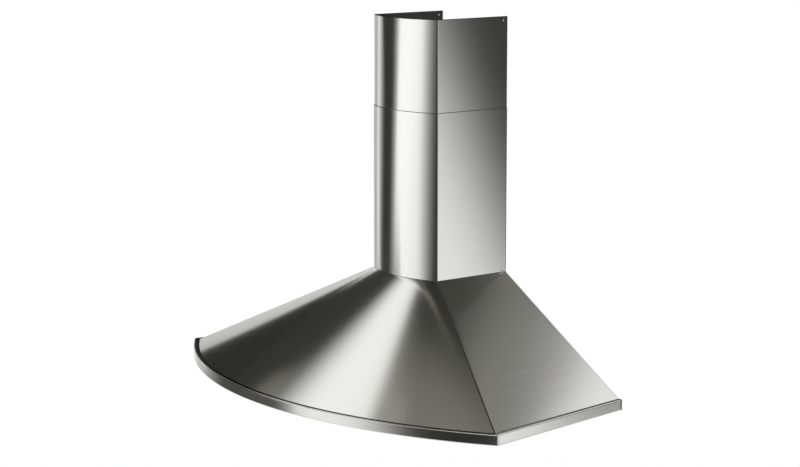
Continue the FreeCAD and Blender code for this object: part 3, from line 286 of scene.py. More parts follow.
def glassMaterial(name, look):
    material, tree, surface = newMaterial(name)
    texture = useGroup(tree, mouldTexture, {"Scale": look["scale"], "Base": look["roughness"],
                                            "Spread": look["spread"]})
    fillAll(tree, surface, {"Transmission Weight": 1.0, "IOR": 1.5, "Base Color": (*look["colour"], 1)})
    textureSurface(tree, surface, texture, look, poreDepth)
    return material


panLook = {**metalLooks["brushed_steel"], "direction": (6.0, 900.0, 900.0), "roughness": 0.2}
nodeMaterials = {"bottom_pan": metalMaterial("pan_steel", panLook)}
materials = {name: metalMaterial(name, look) for name, look in metalLooks.items()}
materials.update({name: mouldedMaterial(name, look) for name, look in mouldedLooks.items()})
materials.update({name: glassMaterial(name, look) for name, look in glassLooks.items()})
slotOf = {row["node"]: row["material_slot"] for row in frame["record"]["subparts"]}
for nodeName, nodeObject in frame["nodes"].items():
    for place in nodeObject.material_slots:
        place.material = nodeMaterials.get(nodeName, materials[slotOf[nodeName]])
print("materials:", len(materials))


# Mesh helpers

mergeDistance = 1e-6


def newPiece(name, mesh):
    piece = bpy.data.objects.new(name, mesh)
    bpy.context.collection.objects.link(piece)
    return piece


def newMesh(name, points, faces):
    mesh = bpy.data.meshes.new(name)
    mesh.from_pydata(points, [], faces)
    return mesh


def sheetPiece(name, outer, inner, roughAndShadedRows=None, roughAndShadedColumns=None):
    # Two equal grids of points become the two faces of a bent sheet, closed along all four borders; the inner
    # face is rougher and painted darker as shade, and so are the outer rows and columns named with their own
    # amounts
    rows, columns = len(outer), len(outer[0])
    count = rows * columns
    points = [point for grid in (outer, inner) for row in grid for point in row]
    faces = []
    for r in range(rows - 1):
        for c in range(columns - 1):
            a = r * columns + c
            faces.append((a, a + 1, a + 1 + columns, a + columns))
            faces.append(tuple(count + i for i in (a, a + columns, a + 1 + columns, a + 1)))
    cellCount = len(faces)
    border = list(range(columns))
    border += [r * columns + columns - 1 for r in range(1, rows)]
    border += [(rows - 1) * columns + c for c in range(columns - 2, -1, -1)]
    border += [r * columns for r in range(rows - 2, 0, -1)]
    for a, b in zip(border, border[1:] + border[:1]):
        faces.append((b, a, a + count, b + count))
    mesh = newMesh(name, points, faces)
    mesh.update()
    amounts = [max((roughAndShadedRows or {}).get(r, 0.0), (roughAndShadedColumns or {}).get(c, 0.0))
               for r in range(rows - 1) for c in range(columns - 1)]
    values = [value for amount in amounts for value in (amount, 1.0)] + [0.0] * (len(faces) - cellCount)
    mesh.attributes.new("inner", "FLOAT", "FACE").data.foreach_set("value", values)
    return newPiece(name, mesh)


def recalculated(mesh):
    shape = bmesh.new()
    shape.from_mesh(mesh)
    bmesh.ops.remove_doubles(shape, verts=shape.verts, dist=mergeDistance)
    bmesh.ops.recalc_face_normals(shape, faces=shape.faces)
    shape.to_mesh(mesh)
    shape.free()


def finishPiece(piece, slotName, body, replaced=(), sharpDegrees=32):
    # Modifiers are turned into mesh, folds stay smooth and cut edges sharp, and the piece joins its body
    depsgraph = bpy.context.evaluated_depsgraph_get()
    mesh = bpy.data.meshes.new_from_object(piece.evaluated_get(depsgraph))
    piece.modifiers.clear()
    piece.data = mesh
    recalculated(mesh)
    mesh.polygons.foreach_set("use_smooth", [True] * len(mesh.polygons))
    mesh.set_sharp_from_angle(angle=math.radians(sharpDegrees))
    mesh.materials.clear()
    mesh.materials.append(materials[slotName])
    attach(piece, body)
    if replaced:
        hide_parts(*replaced)
    return piece


def arcRun(centre, radius, start, end, steps):
    turns = [math.radians(start + (end - start) * i / steps) for i in range(steps + 1)]
    return [(centre[0] + radius * math.cos(turn), centre[1] + radius * math.sin(turn)) for turn in turns]


def boxMiddle(low, high, z=0.0):
    return Vector(((low.x + high.x) / 2, (low.y + high.y) / 2, z))


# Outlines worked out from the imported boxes
rimLow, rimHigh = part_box("front_rim")
backLow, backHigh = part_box("canopy_back_panel")
coverLow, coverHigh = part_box("lower_chimney_cover")
slideLow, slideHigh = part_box("upper_chimney_cover")
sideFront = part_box("side_rim_right")[0].y
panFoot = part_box("bottom_pan")[0].z
sides = (("Left", -1), ("Right", 1))

rimLook = {"sheet": 0.001, "ledge": 0.011, "return": 0.015, "fold": 0.0014, "support": 0.0003,
           "along": 160, "foldSteps": 5, "strips": 12, "foot": panFoot - 0.001, "seam": 0.0006,
           "lip": 0.0026, "groove": 0.0012, "sideGroove": 0.0004, "under": 0.002,
           "frontShade": 1.1, "sideShade": 0.75, "cornerRun": 0.005, "cornerShade": 0.2,
           "endRun": 0.004, "endShade": 0.8, "sharp": 20}
coverLook = {"bow": 0.024, "sheet": 0.0008, "fold": 0.0016, "across": 96, "foldSteps": 6, "support": 0.0005,
             "chamferIn": 0.0006, "chamferUp": 0.0009, "edgeShade": 0.8, "seamShade": 0.6, "topShade": 1.0,
             "rearEdge": 0.0015, "sharp": 20}
canopyLook = {"sheet": 0.0012, "across": 161, "up": 25, "ridge": 0.0016, "foldSteps": 5, "foldShade": 0.7,
              "footInset": 0.009}

hoodHalf, hoodFront = rimHigh.x, rimLow.y
rearHalf, wallFace = backHigh.x, backLow.y
rimTop = rimHigh.z
sideLean = (hoodHalf - rearHalf) / -sideFront
bowRadius = (hoodHalf ** 2 + (sideFront - hoodFront) ** 2) / (2 * (sideFront - hoodFront))
bowCentre = hoodFront + bowRadius


def sideX(inset, y):
    return rearHalf - sideLean * y - inset * math.hypot(1, sideLean)


def rimCorner(inset):
    atWall = sideX(inset, 0)
    b = atWall * sideLean + bowCentre
    a = 1 + sideLean ** 2
    y = (b - math.sqrt(b ** 2 - a * (atWall ** 2 + bowCentre ** 2 - (bowRadius - inset) ** 2))) / a
    return sideX(inset, y), y


def rimBowPoints(inset, z, count):
    x, y = rimCorner(inset)
    radius = bowRadius - inset
    half = math.asin(x / radius)
    turns = [half * (2 * i / (count - 1) - 1) for i in range(count)]
    return [Vector((radius * math.sin(t), bowCentre - radius * math.cos(t), z)) for t in turns]


def rimSection(look, offset, groove):
    # The folded rim as (inset, height) pairs: return, foot fold, face, head fold, lip and sunk ledge
    fold, near = look["fold"], look["support"]
    height = rimTop - look["foot"]
    radius = fold - offset
    path = [(look["return"], offset), (fold + near, offset)]
    path += arcRun((fold, fold), radius, 270, 180, look["foldSteps"])
    path += [(offset, fold + near), (offset, height - fold - near)]
    path += arcRun((fold, height - fold), radius, 180, 90, look["foldSteps"])
    path += [(fold + near, height - offset), (look["lip"], height - offset)]
    sunk = height - groove - offset
    return path + [(look["lip"] + groove, sunk), (look["ledge"] + look["under"], sunk)]


def frontRimPiece(look):
    grids = [[rimBowPoints(inset, look["foot"] + rise, look["along"])
              for inset, rise in rimSection(look, offset, look["groove"])] for offset in (0, look["sheet"])]
    last = len(grids[0]) - 2
    # The groove wall and the sunk ledge are rougher and painted darker: painted shade of the groove under the
    # canopy's foot
    return sheetPiece("frontRim", *grids, {last: look["frontShade"], last - 1: look["frontShade"]})


def sideRimPiece(look, name, sign):
    grids = []
    for offset in (0, look["sheet"]):
        grid = []
        for inset, rise in rimSection(look, offset, look["sideGroove"]):
            x, y = rimCorner(inset)
            front = Vector((sign * x, y, look["foot"] + rise))
            rear = Vector((sign * sideX(inset, wallFace), wallFace, look["foot"] + rise))
            front += (rear - front).normalized() * look["seam"]
            # A short strip at each end is rougher and painted darker: painted shade at the corner seam and at
            # the rear end
            length = (rear - front).length
            stops = [i / look["strips"] for i in range(1, look["strips"])]
            stops = [0, look["cornerRun"] / length] + stops + [1 - look["endRun"] / length, 1]
            grid.append([front.lerp(rear, t) for t in stops])
        grids.append(grid)
    last = len(grids[0]) - 2
    # The groove wall and the sunk ledge are rougher and painted darker: painted shade of the groove under the
    # canopy's foot
    return sheetPiece(name, *grids, {last: look["sideShade"], last - 1: look["sideShade"]},
                      {0: look["cornerShade"], len(stops) - 2: look["endShade"]})


finishPiece(frontRimPiece(rimLook), "brushed_steel", hood, ["front_rim"], rimLook["sharp"])
for sideName, sign in sides:
    piece = sideRimPiece(rimLook, "sideRim" + sideName, sign)
    finishPiece(piece, "brushed_steel", hood, ["side_rim_" + sideName.lower()], rimLook["sharp"])
print("rim made")


# Canopy: the bowed front follows a rule, so Geometry Nodes draw it between the rim's and the chimney's bow

def bowValues(halfWidth, cornerY, middleY):
    rise = cornerY - middleY
    radius = (halfWidth ** 2 + rise ** 2) / (2 * rise)
    return {"Radius": radius, "Angle": math.asin(halfWidth / radius), "Centre": middleY + radius}


def finishTree(tree, shape, given, out):
    real = addNode(tree, "GeometryNodeRealizeInstances", {"Geometry": shape})
    painted = addNode(tree, "GeometryNodeSetMaterial", {"Geometry": real.outputs[0],
                                                        "Material": given["Material"]})
    fill(tree, out["Geometry"], painted.outputs[0])
    return tree


def ruledBowTree():
    ends = {end + " " + part: 0.1 for end in ("Foot", "Head")
            for part in ("Radius", "Angle", "Centre", "Height")}
    tree, given, out = newGroup("ruledBow", "GeometryNodeTree",
                                {"Geometry": "Geometry", **ends, "Sheet": 0.001, "Across": 81, "Up": 21,
                                 "Material": "Material"}, {"Geometry": "Geometry"})
    grid = addNode(tree, "GeometryNodeMeshGrid", {"Size X": 1.0, "Size Y": 1.0, "Vertices X": given["Across"],
                                                  "Vertices Y": given["Up"]})
    spot = addNode(tree, "ShaderNodeSeparateXYZ", {0: addNode(tree, "GeometryNodeInputPosition").outputs[0]})
    across = calc(tree, "MULTIPLY", spot.outputs["X"], 2.0)
    up = calc(tree, "ADD", spot.outputs["Y"], 0.5)
    edges = []
    for end in ("Foot", "Head"):
        turn = calc(tree, "MULTIPLY", across, given[end + " Angle"])
        radius = given[end + " Radius"]
        x = calc(tree, "MULTIPLY", radius, calc(tree, "SINE", turn))
        back = calc(tree, "MULTIPLY", radius, calc(tree, "COSINE", turn))
        y = calc(tree, "SUBTRACT", given[end + " Centre"], back)
        edges.append(addNode(tree, "ShaderNodeCombineXYZ", {"X": x, "Y": y, "Z": given[end + " Height"]}))
    mixed = addNode(tree, "ShaderNodeMix", data_type="VECTOR")
    for label, value in (("Factor", up), ("A", edges[0].outputs[0]), ("B", edges[1].outputs[0])):
        fill(tree, enabledSocket(mixed.inputs, label), value)
    bent = addNode(tree, "GeometryNodeSetPosition", {"Geometry": grid.outputs["Mesh"],
                                                     "Position": enabledSocket(mixed.outputs)})
    down = addNode(tree, "ShaderNodeCombineXYZ", {"Z": -1.0}).outputs[0]
    thick = addNode(tree, "GeometryNodeExtrudeMesh", {"Mesh": bent.outputs[0], "Offset": down,
                                                      "Offset Scale": given["Sheet"], "Individual": False})
    # The inner face is marked, so that the steel there is rougher and painted darker as shade
    dullAndShaded = addNode(tree, "GeometryNodeStoreNamedAttribute",
                   {"Geometry": thick.outputs["Mesh"], "Name": "inner", "Selection": thick.outputs["Top"]},
                   data_type="FLOAT", domain="FACE")
    fill(tree, enabledSocket(dullAndShaded.inputs, "Value"), 1.0)
    under = addNode(tree, "GeometryNodeFlipFaces", {"Mesh": dullAndShaded.outputs[0]})
    both = addNode(tree, "GeometryNodeJoinGeometry")
    tree.links.new(bent.outputs[0], both.inputs[0])
    tree.links.new(under.outputs[0], both.inputs[0])
    merged = addNode(tree, "GeometryNodeMergeByDistance", {"Geometry": both.outputs[0],
                                                           "Distance": mergeDistance})
    return finishTree(tree, merged.outputs[0], given, out)


def nodesPiece(name, tree, values):
    # Inputs are set by each socket's identifier before the object is first evaluated
    piece = newPiece(name, bpy.data.meshes.new(name))
    modifier = piece.modifiers.new("shape", "NODES")
    modifier.node_group = tree
    for socket in tree.interface.items_tree:
        if socket.in_out == "INPUT" and socket.name in values:
            modifier[socket.identifier] = values[socket.name]
    return piece


def canopyBows(look):
    # The front sheet's two bows, each stopped short of the corner by half the ridge's fold
    footX, footY = rimCorner(rimLook["ledge"])
    foot = bowValues(footX, footY, hoodFront + look["footInset"])
    head = bowValues(coverHigh.x, coverLow.y + coverLook["bow"], coverLow.y)
    for bow in (foot, head):
        bow["Angle"] -= look["ridge"] / bow["Radius"]
    return foot, head


def bowEnd(bow, sign, height):
    across, back = bow["Radius"] * math.sin(bow["Angle"]), bow["Radius"] * math.cos(bow["Angle"])
    return Vector((sign * across, bow["Centre"] - back, height))


def canopyFrontPiece(look):
    foot, head = canopyBows(look)
    values = {"Foot Height": rimTop, "Head Height": coverLow.z, "Sheet": look["sheet"],
              "Across": look["across"], "Up": look["up"], "Material": materials["brushed_steel"]}
    for end, bow in (("Foot ", foot), ("Head ", head)):
        values.update({end + part: value for part, value in bow.items()})
    return nodesPiece("canopyFront", ruledBowTree(), values)


def canopySidePiece(look, name, sign):
    footX, footY = rimCorner(rimLook["ledge"])
    foot = [Vector((sign * footX, footY, rimTop)),
            Vector((sign * sideX(look["footInset"], wallFace), wallFace, rimTop))]
    head = [Vector((sign * coverHigh.x, coverLow.y + coverLook["bow"], coverLow.z)),
            Vector((sign * coverHigh.x, wallFace, coverLow.z))]
    footBow, headBow = canopyBows(look)
    ends = bowEnd(footBow, sign, foot[0].z), bowEnd(headBow, sign, head[0].z)
    steps = look["up"] - 1
    outer = []
    for r in range(steps + 1):
        ridge, rear = (foot[i].lerp(head[i], r / steps) for i in (0, 1))
        front = ends[0].lerp(ends[1], r / steps)
        side = ridge + (rear - ridge).normalized() * look["ridge"]
        turns = [t / look["foldSteps"] for t in range(look["foldSteps"])]
        fold = [front.lerp(ridge, t).lerp(ridge.lerp(side, t), t) for t in turns]
        outer.append(fold + [side.lerp(rear, c / steps) for c in range(steps + 1)])
    down = Vector((0, 0, -look["sheet"]))
    inner = [[point + down for point in row] for row in outer]
    # The ridge fold is rougher and painted darker: painted shade along the ridge
    foldColumns = {c: look["foldShade"] for c in range(look["foldSteps"])}
    return sheetPiece(name, outer, inner, roughAndShadedColumns=foldColumns)


finishPiece(canopyFrontPiece(canopyLook), "brushed_steel", hood, ["canopy_front_panel"])
for sideName, sign in sides:
    piece = canopySidePiece(canopyLook, "canopySide" + sideName, sign)
    finishPiece(piece, "brushed_steel", hood, ["canopy_side_panel_" + sideName.lower()])
print("canopy made")


# Chimney covers: one folded sheet each, from the rear edge round the bow to the other rear edge

def coverPath(look, inset, offset, rearY):
    half = coverHigh.x - inset
    bow = bowValues(coverHigh.x, coverLow.y + look["bow"], coverLow.y)
    radius, centre = bow["Radius"] - inset, bow["Centre"]
    foldX = half - look["fold"]
    reach = radius - look["fold"]
    foldY = centre - math.sqrt(reach ** 2 - foldX ** 2)
    turn = math.degrees(math.asin(foldX / reach))
    right = [(half - offset, y) for y in (rearY, rearY - look["rearEdge"], foldY + look["support"])]
    right += arcRun((foldX, foldY), look["fold"] - offset, 0, turn - 90, look["foldSteps"])
    bowRun = arcRun((0, centre), radius - offset, turn - 90, -turn - 90, look["across"])
    left = [(-x, y) for x, y in reversed(right)]
    return right + bowRun[1:-1] + left


def coverPiece(look, name, inset, low, high, rearY, headShade):
    # Foot and head edges are chamfered, so that each shows as a thin line of its own; the chamfers and the
    # rear edges are rougher and painted darker, painted shade of the joins
    rows = [(look["chamferIn"], low), (0, low + look["chamferUp"]), (0, (low + high) / 2),
            (0, high - look["chamferUp"]), (look["chamferIn"], high)]
    sheetRows = [(look["sheet"], z) for offset, z in rows]
    outer, inner = ([[Vector((x, y, z)) for x, y in coverPath(look, inset, offset, rearY)]
                     for offset, z in run] for run in (rows, sheetRows))
    rowShade = {0: look["edgeShade"], len(outer) - 2: headShade}
    columnShade = {0: look["edgeShade"], len(outer[0]) - 2: look["edgeShade"]}
    return sheetPiece(name, outer, inner, rowShade, columnShade)


def drill(piece, radius, y, z, reach):
    # Both side walls are drilled along X
    mesh = bpy.data.meshes.new("drill")
    shape = bmesh.new()
    along = Matrix.Translation((0, y, z)) @ Matrix.Rotation(math.radians(90), 4, "Y")
    bmesh.ops.create_cone(shape, cap_ends=True, segments=32, radius1=radius, radius2=radius, depth=reach,
                          matrix=along)
    shape.to_mesh(mesh)
    shape.free()
    tool = newPiece("drill", mesh)
    cutting = piece.modifiers.new("hole", "BOOLEAN")
    cutting.operation, cutting.solver, cutting.object = "DIFFERENCE", "EXACT", tool
    return tool


topHole = {"radius": 0.0011, "back": 0.009, "drop": 0.0075}
lowerCover = coverPiece(coverLook, "lowerCover", 0, coverLow.z, coverHigh.z, coverHigh.y,
                        coverLook["seamShade"])
finishPiece(lowerCover, "brushed_steel", hood, ["lower_chimney_cover"], coverLook["sharp"])
upperCover = coverPiece(coverLook, "upperCover", coverHigh.x - slideHigh.x, slideLow.z, slideHigh.z,
                        slideHigh.y, coverLook["topShade"])
tool = drill(upperCover, topHole["radius"], -topHole["back"], slideHigh.z - topHole["drop"],
             3 * slideHigh.x)
finishPiece(upperCover, "brushed_steel", "upper_cover", ["upper_chimney_cover"], coverLook["sharp"])
bpy.data.objects.remove(tool)
print("chimney made")


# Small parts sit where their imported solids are

def looseParts(nodeName):
    # Lowest and highest corner of each loose solid in a CAD node, found on a merged copy of its mesh
    shape = bmesh.new()
    shape.from_mesh(frame["nodes"][nodeName].data)
    bmesh.ops.remove_doubles(shape, verts=shape.verts, dist=mergeDistance)
    seen, boxes = set(), []
    for start in shape.verts:
        if start in seen:
            continue
        seen.add(start)
        queue, low, high = [start], start.co.copy(), start.co.copy()
        while queue:
            vert = queue.pop()
            for axis in range(3):
                low[axis], high[axis] = min(low[axis], vert.co[axis]), max(high[axis], vert.co[axis])
            fresh = {edge.other_vert(vert) for edge in vert.link_edges} - seen
            seen |= fresh
            queue += fresh
        boxes.append((low, high))
    shape.free()
    return boxes


# Where a fastener's outline, run from the middle of its head, turns into neck, shank and tip; where its
# recess is at full depth, as shares of its slot and reach; and the steps of its mesh
headLook = {"rim": 1.0, "neck": 1.5, "tip": 2.0, "end": 2.5, "slotFade": 0.5, "reachFade": 0.8,
            "steps": 31, "around": 41, "merge": 1e-5, "turnSeed": 7}


def crossHeadTree(look):
    # A turned head and shank with an optional cross recess, set on every point along its "facing" vector
    tree, given, out = newGroup("crossHead", "GeometryNodeTree",
                                {"Geometry": "Geometry", "Radius": 0.0035, "Head": 0.0008, "Shank": 0.4,
                                 "Length": 0.004, "Slot": 0.14, "Reach": 0.6, "Depth": 0.5, "Square": 3.5,
                                 "Material": "Material"}, {"Geometry": "Geometry"})
    grid = addNode(tree, "GeometryNodeMeshGrid", {"Size X": look["end"], "Size Y": math.tau,
                                                  "Vertices X": look["steps"], "Vertices Y": look["around"]})
    spot = addNode(tree, "ShaderNodeSeparateXYZ", {0: addNode(tree, "GeometryNodeInputPosition").outputs[0]})
    run = calc(tree, "ADD", spot.outputs["X"], look["end"] / 2)
    swing = calc(tree, "SINE", mapRange(tree, run, 0.0, look["rim"], 0.0, math.pi / 2))
    power = calc(tree, "POWER", swing, given["Square"])
    dome = calc(tree, "POWER", calc(tree, "MAXIMUM", calc(tree, "SUBTRACT", 1.0, power), 0.0),
                calc(tree, "DIVIDE", 1.0, given["Square"]))
    radius = calc(tree, "MULTIPLY", given["Radius"], swing)
    necked = mapRange(tree, run, look["rim"], look["neck"], 1.0, given["Shank"])
    pointed = mapRange(tree, run, look["tip"], look["end"], 1.0, 0.0)
    radius = calc(tree, "MULTIPLY", calc(tree, "MULTIPLY", radius, necked), pointed)
    x = calc(tree, "MULTIPLY", radius, calc(tree, "COSINE", spot.outputs["Y"]))
    y = calc(tree, "MULTIPLY", radius, calc(tree, "SINE", spot.outputs["Y"]))
    slot = calc(tree, "MULTIPLY", given["Slot"], given["Radius"])
    reach = calc(tree, "MULTIPLY", given["Reach"], given["Radius"])
    slotStart = calc(tree, "MULTIPLY", slot, look["slotFade"])
    reachStart = calc(tree, "MULTIPLY", reach, look["reachFade"])
    bars = []
    for thin, wide in ((x, y), (y, x)):
        across = smoothRange(tree, calc(tree, "ABSOLUTE", thin), slot, slotStart)
        along = smoothRange(tree, calc(tree, "ABSOLUTE", wide), reach, reachStart)
        bars.append(calc(tree, "MULTIPLY", across, along))
    onHead = calc(tree, "LESS_THAN", run, look["rim"] + 0.01)
    depth = calc(tree, "MULTIPLY", given["Depth"], onHead)
    recess = calc(tree, "MULTIPLY", calc(tree, "MAXIMUM", *bars), depth)
    height = calc(tree, "MULTIPLY", given["Head"], calc(tree, "SUBTRACT", dome, recess))
    down = calc(tree, "MULTIPLY", given["Length"], mapRange(tree, run, look["neck"], look["tip"]))
    place = addNode(tree, "ShaderNodeCombineXYZ", {"X": x, "Y": y, "Z": calc(tree, "SUBTRACT", height, down)})
    turned = addNode(tree, "GeometryNodeSetPosition", {"Geometry": grid.outputs["Mesh"],
                                                       "Position": place.outputs[0]})
    closed = addNode(tree, "GeometryNodeMergeByDistance", {"Geometry": turned.outputs[0],
                                                           "Distance": look["merge"]})
    facing = addNode(tree, "GeometryNodeInputNamedAttribute", {"Name": "facing"}, data_type="FLOAT_VECTOR")
    aligned = addNode(tree, "FunctionNodeAlignRotationToVector", {"Vector": enabledSocket(facing.outputs)},
                      axis="Z")
    chance = addNode(tree, "FunctionNodeRandomValue", {"Seed": look["turnSeed"]}, data_type="FLOAT")
    for label, value in (("Min", 0.0), ("Max", math.tau)):
        fill(tree, enabledSocket(chance.inputs, label), value)
    spin = addNode(tree, "FunctionNodeAxisAngleToRotation", {"Axis": (0, 0, 1),
                                                             "Angle": enabledSocket(chance.outputs)})
    both = addNode(tree, "FunctionNodeRotateRotation", {"Rotation": aligned.outputs[0],
                                                        "Rotate By": spin.outputs[0]}, rotation_space="LOCAL")
    spread = addNode(tree, "GeometryNodeInstanceOnPoints", {"Points": given["Geometry"],
                                                            "Instance": closed.outputs[0],
                                                            "Rotation": both.outputs[0]})
    return finishTree(tree, spread.outputs[0], given, out)


crossHead = crossHeadTree(headLook)


def fastenerPiece(name, places, values, slotName, body, replaced=()):
    # Each place is a point on the surface and the direction in which its head looks
    mesh = newMesh(name, [point for point, facing in places], [])
    layer = mesh.attributes.new("facing", "FLOAT_VECTOR", "POINT")
    layer.data.foreach_set("vector", [number for point, facing in places for number in facing])
    piece = nodesPiece(name, crossHead, {**values, "Material": materials[slotName]})
    piece.data = mesh
    return finishPiece(piece, slotName, body, replaced, sharpDegrees=40)


chimneyScrewLook = {"Radius": 0.0036, "Head": 0.0016, "Shank": 0.45, "Length": 0.003, "Slot": 0.17,
                    "Depth": 0.55, "Square": 2.0}
panScrewLook = {"Radius": 0.0035, "Head": 0.0008, "Shank": 0.42, "Length": 0.004, "Slot": 0.17, "Depth": 0.9,
                "Square": 3.0}
rivetLook = {"Radius": 0.0021, "Head": 0.0006, "Shank": 0.5, "Length": 0.001, "Depth": 0.0, "Square": 2.2}
# Rivets keep clear of the hinge ears at the frame's rear corners
rivetInset = {"front": 0.006, "rear": 0.018}

screwPlaces = []
for low, high in looseParts("chimney_screws"):
    sign = math.copysign(1, low.x + high.x)
    screwPlaces.append((Vector((sign * coverHigh.x, (low.y + high.y) / 2, (low.z + high.z) / 2)),
                        Vector((sign, 0, 0))))
fastenerPiece("chimneyScrews", screwPlaces, chimneyScrewLook, "screw_steel", hood, ["chimney_screws"])
screwPlaces = [(boxMiddle(low, high, low.z + panScrewLook["Head"]), Vector((0, 0, -1)))
               for low, high in looseParts("pan_screws")]
fastenerPiece("panScrews", screwPlaces, panScrewLook, "screw_steel", hood, ["pan_screws"])
for sideName in ("left", "right"):
    low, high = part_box("filter_frame_" + sideName)
    edge = rivetInset["front"]
    spots = [(x, y) for y, inset in ((low.y + edge, edge), (high.y - edge, rivetInset["rear"]))
             for x in (low.x + inset, (low.x + high.x) / 2, high.x - inset)]
    rivets = [(Vector((x, y, low.z)), Vector((0, 0, -1))) for x, y in spots]
    fastenerPiece("filterRivets" + sideName.capitalize(), rivets, rivetLook, "filter_aluminium",
                  "filter_" + sideName)
print("fasteners made")


# Push buttons: a dished cap on a flange and a stem, with a small mark that isn't a letter

buttonLook = {"cornerSteps": 5, "edgeSteps": 4, "dishSteps": 4, "corner": 0.0016, "edge": 0.0007,
              "dish": 0.0011, "dishDepth": 0.0004, "capWidth": 0.018, "flange": 0.0015, "stem": 0.005,
              "stemHeight": 0.005}
markLook = {"dot": (0.0007, 0.0007), "pitch": 0.0026, "bar": (0.0026, 0.0006), "round": (0.0019, 0.0019),
            "proud": 0.00012, "sunk": 0.0004, "taper": 0.8, "cornerSteps": 4}


def roundedRing(halfX, halfY, corner, z, steps):
    corner = min(corner, halfX * 0.999, halfY * 0.999)  # a little short, so that no two points meet
    ring = []
    for sx, sy, start in ((1, 1, 0), (-1, 1, 90), (-1, -1, 180), (1, -1, 270)):
        centre = sx * (halfX - corner), sy * (halfY - corner)
        ring += [Vector((x, y, z)) for x, y in arcRun(centre, corner, start, start + 90, steps)]
    return ring


def stackPiece(name, rings, centre):
    # Rings of equal length are joined into a closed body with a fan at each end
    count = len(rings[0])
    points = [point + centre for ring in rings for point in ring]
    steps = [(c, (c + 1) % count) for c in range(count)]
    faces = [(r * count + a, r * count + b, (r + 1) * count + b, (r + 1) * count + a)
             for r in range(len(rings) - 1) for a, b in steps]
    for r, flip in ((0, True), (len(rings) - 1, False)):
        points.append(sum(rings[r], Vector()) / count + centre)
        fan = [(r * count + a, r * count + b, len(points) - 1) for a, b in steps]
        faces += [face[::-1] if flip else face for face in fan]
    return newPiece(name, newMesh(name, points, faces))


def buttonPiece(look, name, low, high):
    deep, wide = (high.y - low.y) / 2, (high.x - low.x) / 2
    cap, edge, steps = look["capWidth"] / 2, look["edge"], look["cornerSteps"]
    flangeTop = high.z - look["stemHeight"]
    flangeLow = flangeTop - look["flange"]
    rings = [(look["stem"] / 2, deep, high.z), (look["stem"] / 2, deep, flangeTop), (wide, deep, flangeTop),
             (wide, deep, flangeLow), (cap, deep, flangeLow), (cap, deep, low.z + edge)]
    rings += [(cap - inset, deep - inset, low.z + lift)
              for inset, lift in arcRun((edge, edge), edge, 180, 270, look["edgeSteps"])[1:]]
    for t in [i / look["dishSteps"] for i in range(1, look["dishSteps"] + 1)]:
        inset = look["dish"] * t
        rise = look["dishDepth"] * t * t * (3 - 2 * t)
        rings.append((cap - edge - inset, deep - edge - inset, low.z + rise))
    outline = [roundedRing(halfX, halfY, look["corner"], z, steps) for halfX, halfY, z in rings]
    return stackPiece(name, outline, boxMiddle(low, high))


def addMark(look, name, shape, place, slotName, body):
    # A corner as large as the mark makes its ends round
    halfX, halfY = look[shape]
    rings = [roundedRing(halfX * scale, halfY * scale, max(look[shape]), z, look["cornerSteps"])
             for scale, z in ((1, look["sunk"]), (1, 0), (look["taper"], -look["proud"]))]
    finishPiece(stackPiece(name, rings, place), slotName, body)


buttonDots = {"button_light": 0, "button_off": 0, "button_low": 1, "button_medium": 2, "button_high": 3}
for name, dots in buttonDots.items():
    low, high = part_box(name)
    body = name + "_body"
    cap = buttonPiece(buttonLook, name.replace("button_", "buttonCap_"), low, high)
    finishPiece(cap, "button_plastic", body, [name])
    middle = boxMiddle(low, high, low.z + buttonLook["dishDepth"])
    for i in range(dots):
        place = middle + Vector(((i - (dots - 1) / 2) * markLook["pitch"], 0, 0))
        addMark(markLook, "%sDot%d" % (name.replace("_", ""), i), "dot", place, "black_plastic", body)
    if name == "button_off":
        addMark(markLook, "buttonoffBar", "bar", middle, "black_plastic", body)
    if name == "button_light":
        addMark(markLook, "buttonlightRound", "round", middle, "white_plastic", body)
print("buttons made")


# Lamp glass: a frosted disc with fine concentric waves on its lower face

lensLook = {"waves": 8, "waveSteps": 6, "depth": 0.00025, "segments": 72, "edge": 0.0006}


def lensPiece(look, name, low, high):
    radius = (high.x - low.x) / 2
    steps = look["waves"] * look["waveSteps"]
    flat = radius - look["edge"]
    profile = []
    for i in range(1, steps + 1):
        wave = 1 - math.cos(math.tau * look["waves"] * i / steps)
        profile.append((flat * i / steps, low.z + look["depth"] * wave / 2))
    profile += [(radius, low.z + look["edge"]), (radius, high.z - look["edge"]), (flat, high.z)]
    turns = [math.tau * c / look["segments"] for c in range(look["segments"])]
    rings = [[Vector((r * math.cos(turn), r * math.sin(turn), z)) for turn in turns] for r, z in profile]
    return stackPiece(name, rings, boxMiddle(low, high))


for sideName in ("Left", "Right"):
    node = "lamp_lens_" + sideName.lower()
    finishPiece(lensPiece(lensLook, "lampLens" + sideName, *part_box(node)), "lamp_glass", hood, [node])
print("lamps made")


# Studio: white room for camera, gloss and glass, soft plain light, and flags that only the gloss sees

studio = {"worldLight": 0.6, "floorDrop": 1.5, "floorRadius": 7.0, "floorWhite": 0.96, "floorShade": 0.85,
          "floorRough": 0.9, "floorFade": (0.3, 0.95), "flagTint": (1.0, 1.0, 0.88)}
aim = Vector((0, -0.2, 0.15))
